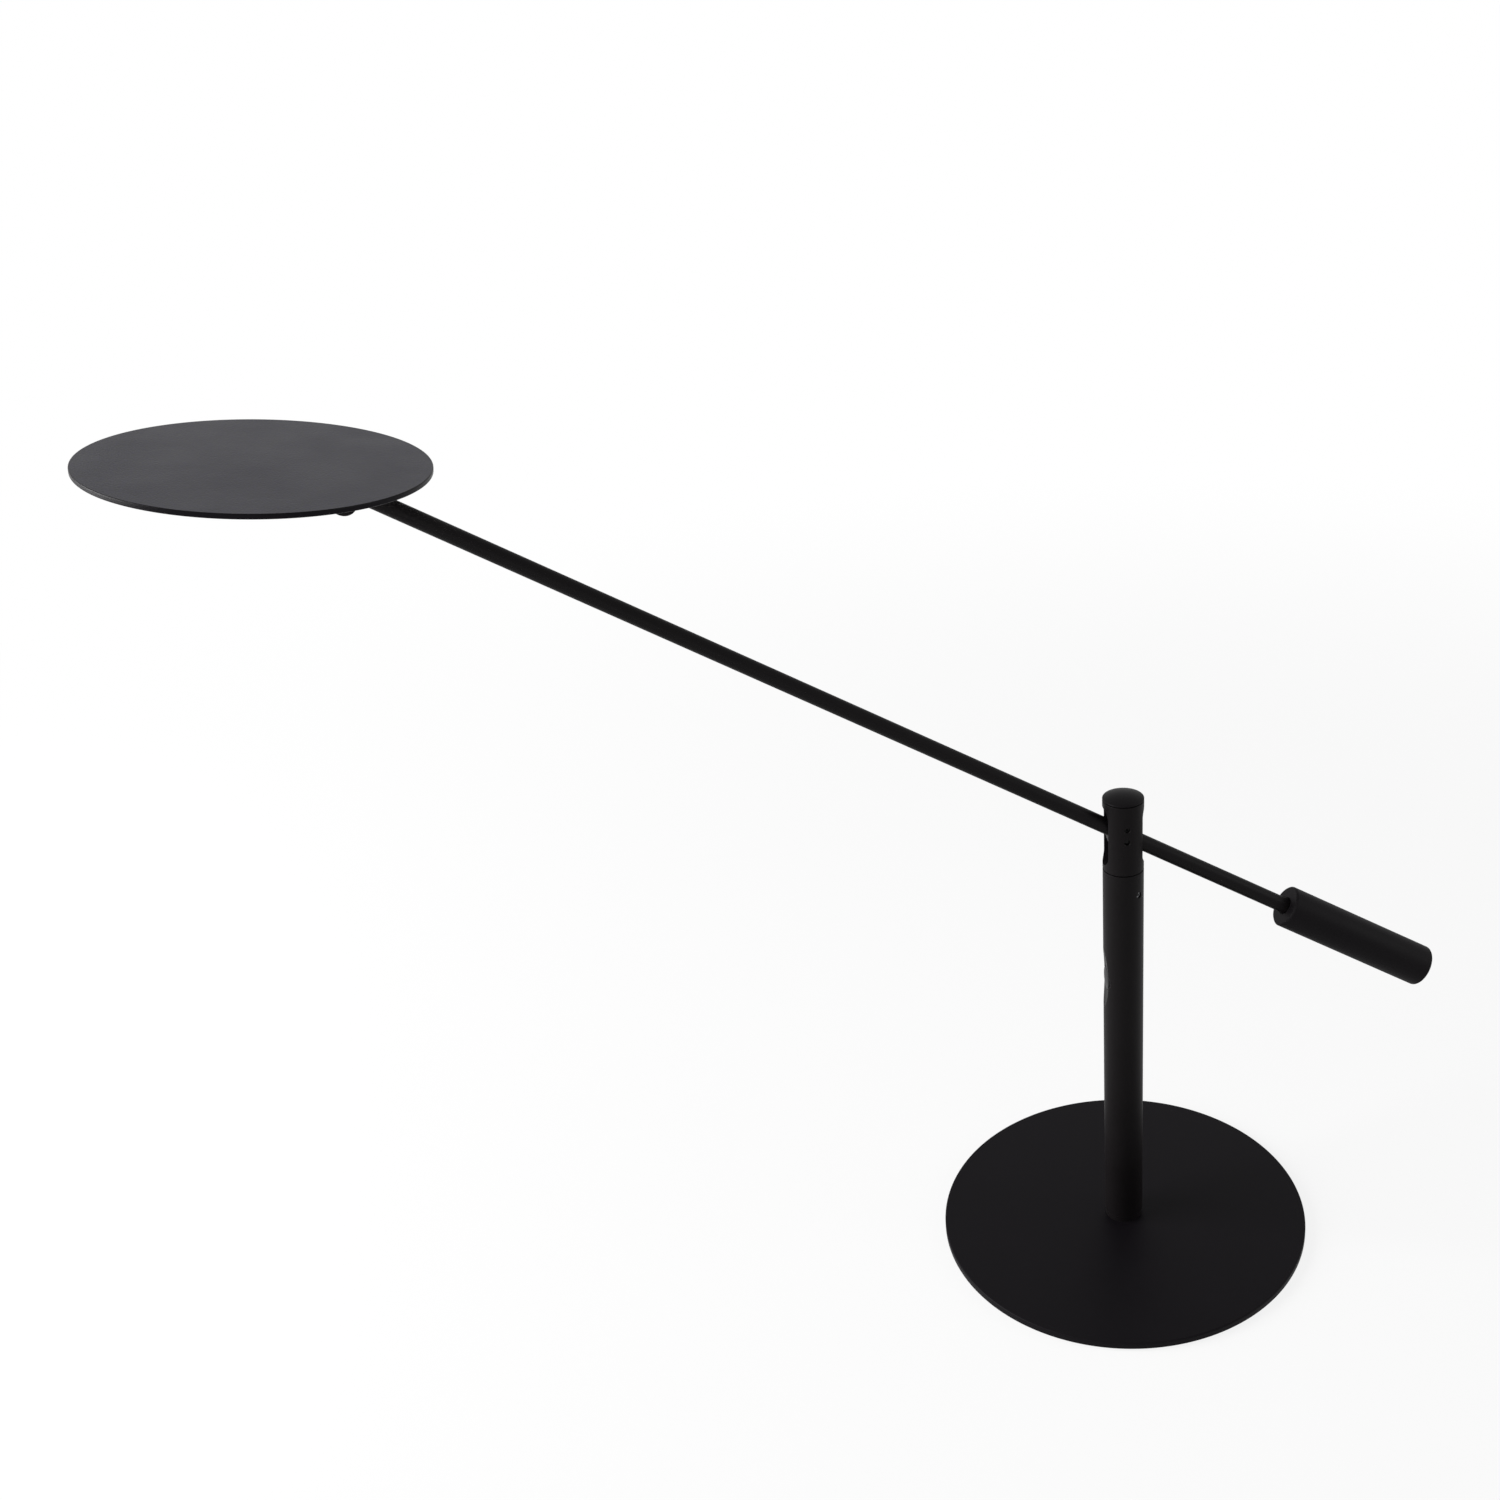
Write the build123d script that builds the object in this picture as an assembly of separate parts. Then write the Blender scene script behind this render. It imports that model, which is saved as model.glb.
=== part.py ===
from build123d import *
import os
from math import cos, radians, sin, sqrt

# Counterweight balance desk lamp: a weighted round base, a tubular stem whose head turns about
# the vertical, a straight arm that pivots in the slot of that head, a cylindrical counterweight
# on the arm's short end and a thin round light on its long end.
#
# Frame: +Z up, origin at the centre of the base's underside. The arm lies in the XZ plane, with
# the light towards -X and the counterweight towards +X. Lengths are in millimetres, angles in
# degrees. At rest the arm rises towards the light and the light's far rim is raised a little.

# ---- clearances ----
fit_gap = 0.05          # a piece pressed, screwed or glued into another
running_gap = 0.06      # a shaft turning in its hole
side_gap = 0.1          # flat faces that slide past each other
free_gap = 0.3          # pieces that pass each other without touching
overshoot = 1.0         # how far a cutting shape runs past the face it opens

# ---- base ----
base_radius = 100.0
base_plate_thickness = 4.0
base_edge_round = 0.8
pad_thickness = 1.0
pad_inset = 3.0
bolt_radius = 4.0
bolt_length = 21.0
bolt_head_radius = 7.0
bolt_head_height = 2.2
bolt_head_sunk = 0.2
bolt_socket_radius = 2.9
bolt_socket_depth = 1.4

# ---- stem ----
stem_radius = 10.4
stem_wall = 2.4
stem_length = 216.8
stem_edge_chamfer = 0.3
foot_ring_height = 3.4
foot_ring_step = 0.4
foot_plug_height = 22.0

# ---- cable inlet, low on the stem's far side ----
inlet_above_foot = 30.0
inlet_hole_radius = 3.0
inlet_flange_radius = 4.2
inlet_flange_height = 1.2
inlet_cable_radius = 2.0
inlet_inner_length = 1.0

# ---- lead and driver board inside the stem ----
stem_lead_radius = 1.5
stem_lead_end_gap = 3.0
driver_above_foot = 50.0
driver_height = 62.0
driver_thickness = 1.2
coil_radius = 4.5
coil_height_above_board = 4.0
coil_from_top = 18.0
chip_size = 6.0
chip_thickness = 1.6
chip_from_bottom = 12.0

# ---- dimmer in the stem's side facing the light ----
dimmer_above_foot = 152.1
scoop_radius = 100.0
scoop_depth = 1.6
button_radius = 6.0
button_below_surface = 0.6
button_dome_rise = 0.7
button_edge_round = 0.3
button_depth = 3.6
button_travel = 0.8
button_hole_gap = 0.2
button_tab_length = 1.2
button_tab_width = 3.0
button_tab_thickness = 1.0
dimmer_housing_height = 26.0
dimmer_housing_back = 3.0
dimmer_board_radius = 6.0
dimmer_board_thickness = 1.0
switch_radius = 2.2
switch_height = 1.2
switch_clearance = 0.2

# ---- swivel between stem and knuckle ----
bush_flange_thickness = 0.3
bush_flange_inset = 0.2
bush_length = 24.0
bush_wall = 1.15
spigot_length = 23.0
stop_screw_below_seam = 12.7
stop_screw_bearing = -50.0
stop_screw_radius = 1.5
stop_screw_sunk = 0.3
stop_tip_radius = 1.0
stop_groove_depth = 1.15
stop_web_width = 1.6
spigot_wire_bore_radius = 3.0

# ---- knuckle, the slotted head of the stem ----
knuckle_height = 38.5
knuckle_edge_round = 0.4
pivot_above_seam = 19.1
slot_height = 32.4
slot_width = 11.4
cap_seat_radius = 7.1
cap_seat_depth = 2.0
cap_groove_height = 0.5
cap_groove_depth = 0.8
cap_band_height = 0.6
cap_dome_rise = 2.4
cap_edge_round = 0.4

# ---- arm pivot ----
pivot_pin_radius = 1.25
pivot_pin_sunk = 1.0
tension_screw_radius = 1.25
tension_screw_above_pivot = 7.0
tension_screw_sunk = 0.9
pivot_washer_radius = 8.3
pivot_washer_thickness = 0.5
hub_radius = 8.4
hub_screw_radius = 1.25

# ---- arm and counterweight ----
arm_rise = 31.08
arm_radius = 4.0
arm_wall = 1.0
arm_light_length = 384.0
arm_lead_radius = 1.2
arm_lead_start = 8.0
weight_radius = 10.8
weight_start = 98.9
weight_length = 87.9
weight_end_wall = 2.4
weight_arm_gap = 2.0
weight_front_chamfer = 0.8
weight_rear_round = 1.0
weight_mouth_chamfer = 0.8
weight_screw_radius = 1.5
weight_screw_from_front = 12.0
weight_screw_sunk = 0.3

# ---- hinge between arm and light ----
eye_radius = 5.8
eye_half_width = 4.6
eye_neck_length = 9.0
eye_spigot_length = 12.0
hinge_washer_radius = 5.2
hinge_washer_thickness = 0.5
hinge_screw_radius = 1.8
hinge_head_radius = 3.2
hinge_head_height = 1.6
hinge_head_proud = 0.2
hinge_nut_radius = 3.2
hinge_nut_thickness = 2.2
hinge_nut_sunk = 0.8
ear_length = 8.8
ear_foot_half_length = 12.0
ear_foot_thickness = 1.8
ear_screw_radius = 1.0
ear_screw_head_radius = 1.9
ear_screw_head_height = 1.2
ear_screw_spacing = 18.0
ear_screw_offset = 9.6
ear_screw_grip = 1.4

# ---- light ----
light_tilt = 8.27
light_radius = 71.3
light_height = 2.4
light_top_thickness = 0.7
light_rim_wall = 1.6
light_top_round = 0.7
light_bottom_round = 0.4
light_centre_from_hinge = 37.1
light_top_above_hinge = 11.09
boss_radius = 2.6
film_thickness = 0.15
diffuser_thickness = 0.5
diffuser_gap = 0.2
strip_thickness = 0.4
strip_end_gap = 0.1
led_count = 36
led_depth = 1.2
led_width = 2.8
led_height = 0.8
led_to_guide_gap = 0.3

# ---- socket of every small grub screw, as shares of the screw's radius ----
socket_share = 0.6
socket_depth = 1.0

# ---- places worked out from the sizes above ----
plate_top = pad_thickness + base_plate_thickness
foot_top = plate_top + foot_ring_height
bore_radius = stem_radius - stem_wall
tube_top = foot_top + stem_length
seam_height = tube_top + bush_flange_thickness
knuckle_top = seam_height + knuckle_height
pivot_height = seam_height + pivot_above_seam
dimmer_height = foot_top + dimmer_above_foot
bush_bore_radius = bore_radius - fit_gap - bush_wall
spigot_radius = bush_bore_radius - running_gap
stop_screw_height = seam_height - stop_screw_below_seam
slot_half_width = slot_width / 2
hub_half_width = slot_half_width - pivot_washer_thickness - side_gap
weight_end = weight_start + weight_length
hinge_reach = arm_light_length + eye_neck_length
hinge_drop = eye_radius - arm_radius
ear_inner = eye_half_width + side_gap + hinge_washer_thickness
ear_outer = ear_inner + ear_length
light_under = light_top_above_hinge - light_height
guide_top = -light_top_thickness - film_thickness
diffuser_top = -light_height + diffuser_thickness
rim_inner_radius = light_radius - light_rim_wall
strip_outer_radius = rim_inner_radius - strip_end_gap
strip_inner_radius = strip_outer_radius - strip_thickness
guide_radius = strip_inner_radius - fit_gap - led_depth - led_to_guide_gap


# ---- shared shapes ----
def rod(start, end, radius):
    """A cylinder from one point to another."""
    axis = Vector(*end) - Vector(*start)
    place = Plane(origin=start, z_dir=axis).location
    return place * Cylinder(radius, axis.length, align=(Align.CENTER, Align.CENTER, Align.MIN))


def disc(radius, bottom, top):
    """A cylinder about the vertical axis."""
    return rod((0, 0, bottom), (0, 0, top), radius)


def ring(outer, inner, bottom, top):
    """A disc with a round hole."""
    return disc(outer, bottom, top) - disc(inner, bottom - overshoot, top + overshoot)


def block(low, high):
    """A box between two opposite corners."""
    size = Vector(*high) - Vector(*low)
    centre = (Vector(*high) + Vector(*low)) * 0.5
    return Pos(centre) * Box(size.X, size.Y, size.Z)


def hexagon_prism(start, end, radius):
    """A six-sided prism from one point to another, its corners on the radius."""
    axis = Vector(*end) - Vector(*start)
    place = Plane(origin=start, z_dir=axis)
    return extrude(place * RegularPolygon(radius, 6), amount=axis.length)


def grub_screw(mouth, tip, radius):
    """A headless screw with a six-sided socket at its mouth."""
    inward = (Vector(*tip) - Vector(*mouth)).normalized()
    floor = Vector(*mouth) + inward * socket_depth
    return rod(mouth, tip, radius) - hexagon_prism(mouth, tuple(floor), radius * socket_share)


def domed_disc(radius, height, rise, rim_round):
    """A disc standing on the XY plane whose top is a shallow dome with a rounded rim."""
    rim, apex = (radius, height - rise), (0, height)
    dome_radius = (radius ** 2 + rise ** 2) / (2 * rise)
    outline = Polyline((0, height), (0, 0), (radius, 0), rim)
    outline += RadiusArc(rim, apex, -dome_radius)
    profile = make_face(outline)
    profile = fillet(profile.vertices().group_by(Axis.X)[-1].sort_by(Axis.Y)[-1], rim_round)
    return revolve(Plane.XZ * profile, Axis.Z)


def tilted_frame(origin, angle):
    """A frame whose X axis dips by the angle towards +X, and whose Y axis is the world's."""
    dip = radians(angle)
    return Plane(origin=origin, x_dir=(cos(dip), 0, -sin(dip)), z_dir=(sin(dip), 0, cos(dip)))


def both_sides(make_side):
    """The two mirrored pieces that a function makes for the near and the far side."""
    return Compound(children=[make_side(-1), make_side(1)])


def save(name, shape):
    """Write one sub-part."""
    export_step(shape, f"parts/{name}.step")


# ---- base ----
def make_base_pad():
    return disc(base_radius - pad_inset, 0, pad_thickness)


def make_base_plate():
    plate = disc(base_radius, pad_thickness, plate_top)
    plate = fillet(plate.edges().filter_by(GeomType.CIRCLE), base_edge_round)
    head_room = disc(bolt_head_radius + free_gap, pad_thickness - overshoot, bolt_seat())
    return plate - head_room - disc(bolt_radius + side_gap, 0, plate_top + overshoot)


def bolt_seat():
    """Height of the step in the plate that the bolt's head pulls against."""
    return pad_thickness + bolt_head_sunk + bolt_head_height


def make_base_bolt():
    seat = bolt_seat()
    bottom = seat - bolt_head_height
    bolt = disc(bolt_head_radius, bottom, seat) + disc(bolt_radius, seat, seat + bolt_length)
    return bolt - hexagon_prism((0, 0, bottom), (0, 0, bottom + bolt_socket_depth), bolt_socket_radius)


# ---- stem ----
def make_foot_ring():
    return ring(stem_radius - foot_ring_step, bolt_radius + side_gap, plate_top, foot_top)


def make_foot_plug():
    return ring(bore_radius - fit_gap, bolt_radius + fit_gap, foot_top, foot_top + foot_plug_height)


def make_stem_tube():
    tube = ring(stem_radius, bore_radius, foot_top, tube_top)
    rims = tube.edges().filter_by(GeomType.CIRCLE).group_by(SortBy.RADIUS)[-1]
    tube = chamfer(rims, stem_edge_chamfer)
    scoop_centre = (-(stem_radius - scoop_depth + scoop_radius), 0, dimmer_height)
    tube -= Pos(*scoop_centre) * Sphere(scoop_radius)
    tube -= rod((0, 0, dimmer_height), (-stem_radius - overshoot, 0, dimmer_height),
                button_radius + button_hole_gap)
    inlet_height = foot_top + inlet_above_foot
    tube -= rod((0, 0, inlet_height), (0, stem_radius + overshoot, inlet_height), inlet_hole_radius)
    return tube - rod(stop_screw_point(0), stop_screw_point(stem_radius + overshoot),
                      stop_screw_radius + fit_gap)


def make_cable_inlet():
    height = foot_top + inlet_above_foot
    outer = stem_radius + inlet_flange_height
    flange = rod((0, bore_radius, height), (0, outer, height), inlet_flange_radius)
    flange = fillet(flange.edges().filter_by(GeomType.CIRCLE).sort_by(Axis.Y)[-1],
                    inlet_flange_height / 2)
    flange -= disc(stem_radius + fit_gap, foot_top, tube_top)
    neck = rod((0, bore_radius - inlet_inner_length, height), (0, outer - inlet_flange_height / 2, height),
               inlet_hole_radius - fit_gap)
    return flange + neck - rod((0, 0, height), (0, outer + overshoot, height), inlet_cable_radius)


def make_stem_lead():
    x = bore_radius - free_gap - stem_lead_radius
    bottom = foot_top + foot_plug_height + stem_lead_end_gap
    top = tube_top - bush_length - stem_lead_end_gap
    return rod((x, 0, bottom), (x, 0, top), stem_lead_radius)


def make_driver_board():
    half_thickness = driver_thickness / 2
    half_width = sqrt(bore_radius ** 2 - half_thickness ** 2) - free_gap
    bottom = foot_top + driver_above_foot
    board = block((-half_thickness, -half_width, bottom),
                  (half_thickness, half_width, bottom + driver_height))
    coil_height = bottom + driver_height - coil_from_top
    board += rod((0, 0, coil_height), (-half_thickness - coil_height_above_board, 0, coil_height),
                 coil_radius)
    chip_height = bottom + chip_from_bottom
    return board + block((-half_thickness - chip_thickness, -chip_size / 2, chip_height),
                         (0, chip_size / 2, chip_height + chip_size))


# ---- dimmer: a sprung button, its housing and its board ----
button_face = -(stem_radius - button_below_surface)
button_back = button_face + button_depth
switch_face = button_back + button_travel + switch_clearance
board_front = switch_face + switch_height
board_back = board_front + dimmer_board_thickness
tab_half_height = button_radius + button_tab_length


def make_dimmer_housing():
    low, high = dimmer_height - dimmer_housing_height / 2, dimmer_height + dimmer_housing_height / 2
    housing = disc(bore_radius - fit_gap, low, high)
    housing -= block((dimmer_housing_back, -stem_radius, low - overshoot),
                     (stem_radius, stem_radius, high + overshoot))
    housing -= rod((board_back, 0, dimmer_height), (-stem_radius, 0, dimmer_height),
                   button_radius + button_hole_gap)
    tab_room = button_hole_gap + side_gap
    return housing - block(
        (-stem_radius, -button_tab_width / 2 - tab_room, dimmer_height - tab_half_height - tab_room),
        (board_back, button_tab_width / 2 + tab_room, dimmer_height + tab_half_height + tab_room))


def make_dimmer_board():
    board = rod((board_back, 0, dimmer_height), (board_front, 0, dimmer_height), dimmer_board_radius)
    return board + rod((board_front, 0, dimmer_height), (switch_face, 0, dimmer_height), switch_radius)


def make_dimmer_button():
    button = domed_disc(button_radius, button_depth, button_dome_rise, button_edge_round)
    button = Plane(origin=(button_back, 0, dimmer_height), z_dir=(-1, 0, 0)).location * button
    return button + block(
        (button_back - button_tab_thickness, -button_tab_width / 2, dimmer_height - tab_half_height),
        (button_back, button_tab_width / 2, dimmer_height + tab_half_height))


# ---- swivel ----
def stop_screw_point(distance, turn=0):
    """The point on the stop screw's axis at a distance from the stem's axis."""
    bearing = radians(stop_screw_bearing + turn)
    return (distance * cos(bearing), distance * sin(bearing), stop_screw_height)


def make_swivel_bush():
    bush = ring(bore_radius - fit_gap, bush_bore_radius, tube_top - bush_length, tube_top)
    bush += ring(stem_radius - bush_flange_inset, bush_bore_radius, tube_top, seam_height)
    return bush - rod(stop_screw_point(0), stop_screw_point(stem_radius), stop_tip_radius + free_gap)


def make_stop_screw():
    mouth = stop_screw_point(stem_radius - stop_screw_sunk)
    shoulder = stop_screw_point(bore_radius)
    tip = stop_screw_point(spigot_radius - stop_groove_depth + free_gap)
    return grub_screw(mouth, shoulder, stop_screw_radius) + rod(shoulder, tip, stop_tip_radius)


def make_stop_groove():
    """The groove round the spigot that the stop screw's tip runs in, short of one web."""
    half_height = stop_tip_radius + free_gap
    low, high = stop_screw_height - half_height, stop_screw_height + half_height
    groove = ring(spigot_radius + overshoot, spigot_radius - stop_groove_depth, low, high)
    web = block((0, -stop_web_width / 2, low - overshoot),
                (spigot_radius + 2 * overshoot, stop_web_width / 2, high + overshoot))
    return groove - Rot(Z=stop_screw_bearing + 180) * web


def make_knuckle():
    body = disc(stem_radius, seam_height, knuckle_top)
    body = fillet(body.edges().filter_by(GeomType.CIRCLE), knuckle_edge_round)
    body += disc(spigot_radius, seam_height - spigot_length, seam_height + knuckle_edge_round)
    body -= make_stop_groove()
    slot = Plane.YZ * Pos(0, pivot_height) * SlotOverall(slot_height, slot_width, rotation=90)
    body -= extrude(slot, amount=stem_radius + overshoot, both=True)
    body -= disc(spigot_wire_bore_radius, seam_height - spigot_length - overshoot, pivot_height)
    body -= disc(cap_seat_radius, knuckle_top - cap_seat_depth, knuckle_top + overshoot)
    body -= rod((0, -stem_radius - overshoot, pivot_height), (0, stem_radius + overshoot, pivot_height),
                pivot_pin_radius + fit_gap)
    tension_height = pivot_height + tension_screw_above_pivot
    return body - rod((0, -stem_radius - overshoot, tension_height), (0, 0, tension_height),
                      tension_screw_radius + fit_gap)


def make_knuckle_cap():
    cap_bottom = knuckle_top + cap_groove_height
    cap = domed_disc(stem_radius, cap_band_height + cap_dome_rise, cap_dome_rise, cap_edge_round)
    cap = Pos(0, 0, cap_bottom) * cap
    cap += disc(stem_radius - cap_groove_depth, knuckle_top, cap_bottom)
    return cap + disc(cap_seat_radius - fit_gap, knuckle_top - cap_seat_depth, cap_bottom)


# ---- arm pivot ----
def make_pivot_pin():
    reach = stem_radius - pivot_pin_sunk
    return rod((0, -reach, pivot_height), (0, reach, pivot_height), pivot_pin_radius)


def make_tension_screw():
    height = pivot_height + tension_screw_above_pivot
    return grub_screw((0, -stem_radius + tension_screw_sunk, height), (0, -slot_half_width, height),
                      tension_screw_radius)


def make_pivot_washer(side):
    inner, outer = slot_half_width - pivot_washer_thickness, slot_half_width
    washer = rod((0, side * inner, pivot_height), (0, side * outer, pivot_height), pivot_washer_radius)
    return washer - rod((0, 0, pivot_height), (0, side * stem_radius, pivot_height),
                        pivot_pin_radius + side_gap)


arm_frame = tilted_frame((0, 0, pivot_height), arm_rise)


def make_arm_hub():
    hub = rod((0, -hub_half_width, 0), (0, hub_half_width, 0), hub_radius)
    hub -= rod((0, -stem_radius, 0), (0, stem_radius, 0), pivot_pin_radius + running_gap)
    hub -= rod((-stem_radius, 0, 0), (stem_radius, 0, 0), arm_radius + fit_gap)
    return arm_frame.location * (hub - rod((0, 0, 0), (0, 0, -stem_radius), hub_screw_radius + fit_gap))


def make_hub_screw():
    return arm_frame.location * grub_screw((0, 0, -hub_radius + side_gap), (0, 0, -arm_radius),
                                           hub_screw_radius)


# ---- arm and counterweight, along the X axis of the arm's frame ----
def make_arm_tube():
    weight_side = weight_end - weight_end_wall - weight_arm_gap
    tube = rod((-arm_light_length, 0, 0), (weight_side, 0, 0), arm_radius)
    tube -= rod((-arm_light_length - overshoot, 0, 0), (weight_side + overshoot, 0, 0),
                arm_radius - arm_wall)
    return arm_frame.location * (tube - rod((0, -stem_radius, 0), (0, stem_radius, 0),
                                            pivot_pin_radius + side_gap))


def make_arm_lead():
    z = -(arm_radius - arm_wall - free_gap - arm_lead_radius)
    end = arm_light_length - eye_spigot_length - eye_half_width
    return arm_frame.location * rod((-arm_lead_start, 0, z), (-end, 0, z), arm_lead_radius)


def make_counterweight():
    weight = rod((weight_start, 0, 0), (weight_end, 0, 0), weight_radius)
    rims = weight.edges().filter_by(GeomType.CIRCLE).sort_by(Axis.X)
    weight = chamfer(rims[0], weight_front_chamfer)
    rear_rim = weight.edges().filter_by(GeomType.CIRCLE).sort_by(Axis.X)[-1]
    weight = fillet(rear_rim, weight_rear_round)
    weight -= rod((weight_start - overshoot, 0, 0), (weight_end - weight_end_wall, 0, 0),
                  arm_radius + fit_gap)
    weight = chamfer(mouth_edges(weight), weight_mouth_chamfer)
    screw_x = weight_start + weight_screw_from_front
    return arm_frame.location * (weight - rod((screw_x, 0, 0), (screw_x, 0, -weight_radius - overshoot),
                                              weight_screw_radius + fit_gap))


def mouth_edges(weight):
    """The edge where the arm enters the counterweight's front face."""
    circles = weight.edges().filter_by(GeomType.CIRCLE)
    return [edge for edge in circles
            if abs(edge.center().X - weight_start) < fit_gap and edge.radius < weight_radius / 2]


def make_weight_screw():
    x = weight_start + weight_screw_from_front
    return arm_frame.location * grub_screw((x, 0, -weight_radius + weight_screw_sunk), (x, 0, -arm_radius),
                                           weight_screw_radius)


def make_arm_eye():
    eye = rod((-hinge_reach, -eye_half_width, -hinge_drop), (-hinge_reach, eye_half_width, -hinge_drop),
              eye_radius)
    neck = rod((-arm_light_length, 0, 0), (-hinge_reach, 0, 0), arm_radius)
    spigot = rod((-arm_light_length + eye_spigot_length, 0, 0), (-arm_light_length, 0, 0),
                 arm_radius - arm_wall - fit_gap)
    hole = rod((-hinge_reach, -stem_radius, -hinge_drop), (-hinge_reach, stem_radius, -hinge_drop),
               hinge_screw_radius + running_gap)
    return arm_frame.location * (eye + neck + spigot - hole)


# ---- hinge of the light, in a frame on the hinge's axis that tilts with the light ----
hinge_point = arm_frame.from_local_coords(Vector(-hinge_reach, 0, -hinge_drop))
hinge_frame = tilted_frame(hinge_point, light_tilt)
ear_screw_places = [(along * ear_screw_spacing / 2, side * ear_screw_offset)
                    for along in (-1, 1) for side in (-1, 1)]


def make_hinge_ear(side):
    ear = rod((0, side * ear_inner, 0), (0, side * ear_outer, 0), eye_radius)
    near, far = sorted((side * ear_inner, side * ear_outer))
    foot_bottom = light_under - ear_foot_thickness
    ear += block((-ear_foot_half_length, near, foot_bottom), (ear_foot_half_length, far, light_under))
    ear += block((-eye_radius, near, 0), (eye_radius, far, light_under))
    ear -= rod((0, 0, 0), (0, side * (ear_outer + overshoot), 0), hinge_screw_radius + fit_gap)
    if side < 0:
        seat = -ear_outer + hinge_head_height - hinge_head_proud
        ear -= rod((0, seat, 0), (0, -ear_outer - overshoot, 0), hinge_head_radius + side_gap)
    else:
        seat = ear_outer - hinge_nut_sunk - hinge_nut_thickness
        ear -= rod((0, seat, 0), (0, ear_outer + overshoot, 0), hinge_nut_radius + side_gap)
    for x, y in ear_screw_places:
        ear -= rod((x, y, 0), (x, y, light_under + overshoot), ear_screw_radius + fit_gap)
    return hinge_frame.location * ear


def make_hinge_screw():
    head_end = -ear_outer - hinge_head_proud
    seat = head_end + hinge_head_height
    screw = rod((0, head_end, 0), (0, seat, 0), hinge_head_radius)
    screw += rod((0, seat, 0), (0, ear_outer - hinge_nut_sunk, 0), hinge_screw_radius)
    return hinge_frame.location * (screw - hexagon_prism((0, head_end, 0), (0, head_end + socket_depth, 0),
                                                         hinge_head_radius * socket_share))


def make_hinge_nut():
    outer = ear_outer - hinge_nut_sunk
    nut = hexagon_prism((0, outer - hinge_nut_thickness, 0), (0, outer, 0), hinge_nut_radius)
    return hinge_frame.location * (nut - rod((0, 0, 0), (0, ear_outer, 0), hinge_screw_radius + fit_gap))


def make_hinge_washer(side):
    inner = ear_inner - hinge_washer_thickness
    washer = rod((0, side * inner, 0), (0, side * ear_inner, 0), hinge_washer_radius)
    return hinge_frame.location * (washer - rod((0, 0, 0), (0, side * ear_outer, 0),
                                                hinge_screw_radius + side_gap))


def make_ear_screws():
    seat = light_under - ear_foot_thickness
    tip = light_under + ear_screw_grip
    screws = []
    for x, y in ear_screw_places:
        head = rod((x, y, seat - ear_screw_head_height), (x, y, seat), ear_screw_head_radius)
        head -= hexagon_prism((x, y, seat - ear_screw_head_height), (x, y, seat - ear_screw_head_height / 2),
                              ear_screw_head_radius * socket_share)
        screws.append(hinge_frame.location * (head + rod((x, y, seat), (x, y, tip), ear_screw_radius)))
    return Compound(children=screws)


# ---- light: an edge-lit panel under a metal shell, in a frame on the shell's top face ----
light_centre = hinge_frame.from_local_coords(Vector(-light_centre_from_hinge, 0, light_top_above_hinge))
light_frame = tilted_frame(light_centre, light_tilt)
boss_places = [(x + light_centre_from_hinge, y) for x, y in ear_screw_places]


def with_boss_holes(panel):
    """The panel with a hole round each of the shell's bosses."""
    for x, y in boss_places:
        panel -= rod((x, y, -light_height - overshoot), (x, y, overshoot), boss_radius + free_gap)
    return light_frame.location * panel


def make_light_shell():
    shell = disc(light_radius, -light_height, 0)
    circles = shell.edges().filter_by(GeomType.CIRCLE).sort_by(Axis.Z)
    shell = fillet(circles[-1], light_top_round)
    shell = fillet(shell.edges().filter_by(GeomType.CIRCLE).sort_by(Axis.Z)[0], light_bottom_round)
    shell -= disc(rim_inner_radius, -light_height - overshoot, -light_top_thickness)
    for x, y in boss_places:
        shell += rod((x, y, -light_top_thickness), (x, y, -light_height), boss_radius)
        shell -= rod((x, y, -light_height - overshoot), (x, y, -light_height + ear_screw_grip + side_gap),
                     ear_screw_radius + fit_gap)
    return light_frame.location * shell


def make_reflector_film():
    return with_boss_holes(disc(guide_radius, guide_top, -light_top_thickness))


def make_light_guide():
    return with_boss_holes(disc(guide_radius, diffuser_top, guide_top))


def make_diffuser():
    return with_boss_holes(disc(rim_inner_radius - diffuser_gap, -light_height, diffuser_top))


def make_led_strip():
    return light_frame.location * ring(strip_outer_radius, strip_inner_radius, diffuser_top + strip_end_gap,
                                       -light_top_thickness - strip_end_gap)


def make_edge_leds():
    outer = strip_inner_radius - fit_gap
    middle = (diffuser_top - light_top_thickness) / 2
    led = block((outer - led_depth, -led_width / 2, middle - led_height / 2),
                (outer, led_width / 2, middle + led_height / 2))
    return Compound(children=[light_frame.location * (Rot(Z=360 * i / led_count) * led)
                              for i in range(led_count)])


os.makedirs("parts", exist_ok=True)
save("base_pad", make_base_pad())
save("base_plate", make_base_plate())
save("base_bolt", make_base_bolt())
save("foot_ring", make_foot_ring())
save("foot_plug", make_foot_plug())
save("stem_tube", make_stem_tube())
save("cable_inlet", make_cable_inlet())
save("stem_lead", make_stem_lead())
save("driver_board", make_driver_board())
save("dimmer_housing", make_dimmer_housing())
save("dimmer_board", make_dimmer_board())
save("dimmer_button", make_dimmer_button())
save("swivel_bush", make_swivel_bush())
save("stop_screw", make_stop_screw())
save("knuckle", make_knuckle())
save("knuckle_cap", make_knuckle_cap())
save("pivot_pin", make_pivot_pin())
save("tension_screw", make_tension_screw())
save("pivot_washers", both_sides(make_pivot_washer))
save("arm_hub", make_arm_hub())
save("hub_screw", make_hub_screw())
save("arm_tube", make_arm_tube())
save("arm_lead", make_arm_lead())
save("counterweight", make_counterweight())
save("weight_screw", make_weight_screw())
save("arm_eye", make_arm_eye())
save("hinge_ears", both_sides(make_hinge_ear))
save("hinge_screw", make_hinge_screw())
save("hinge_nut", make_hinge_nut())
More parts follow.
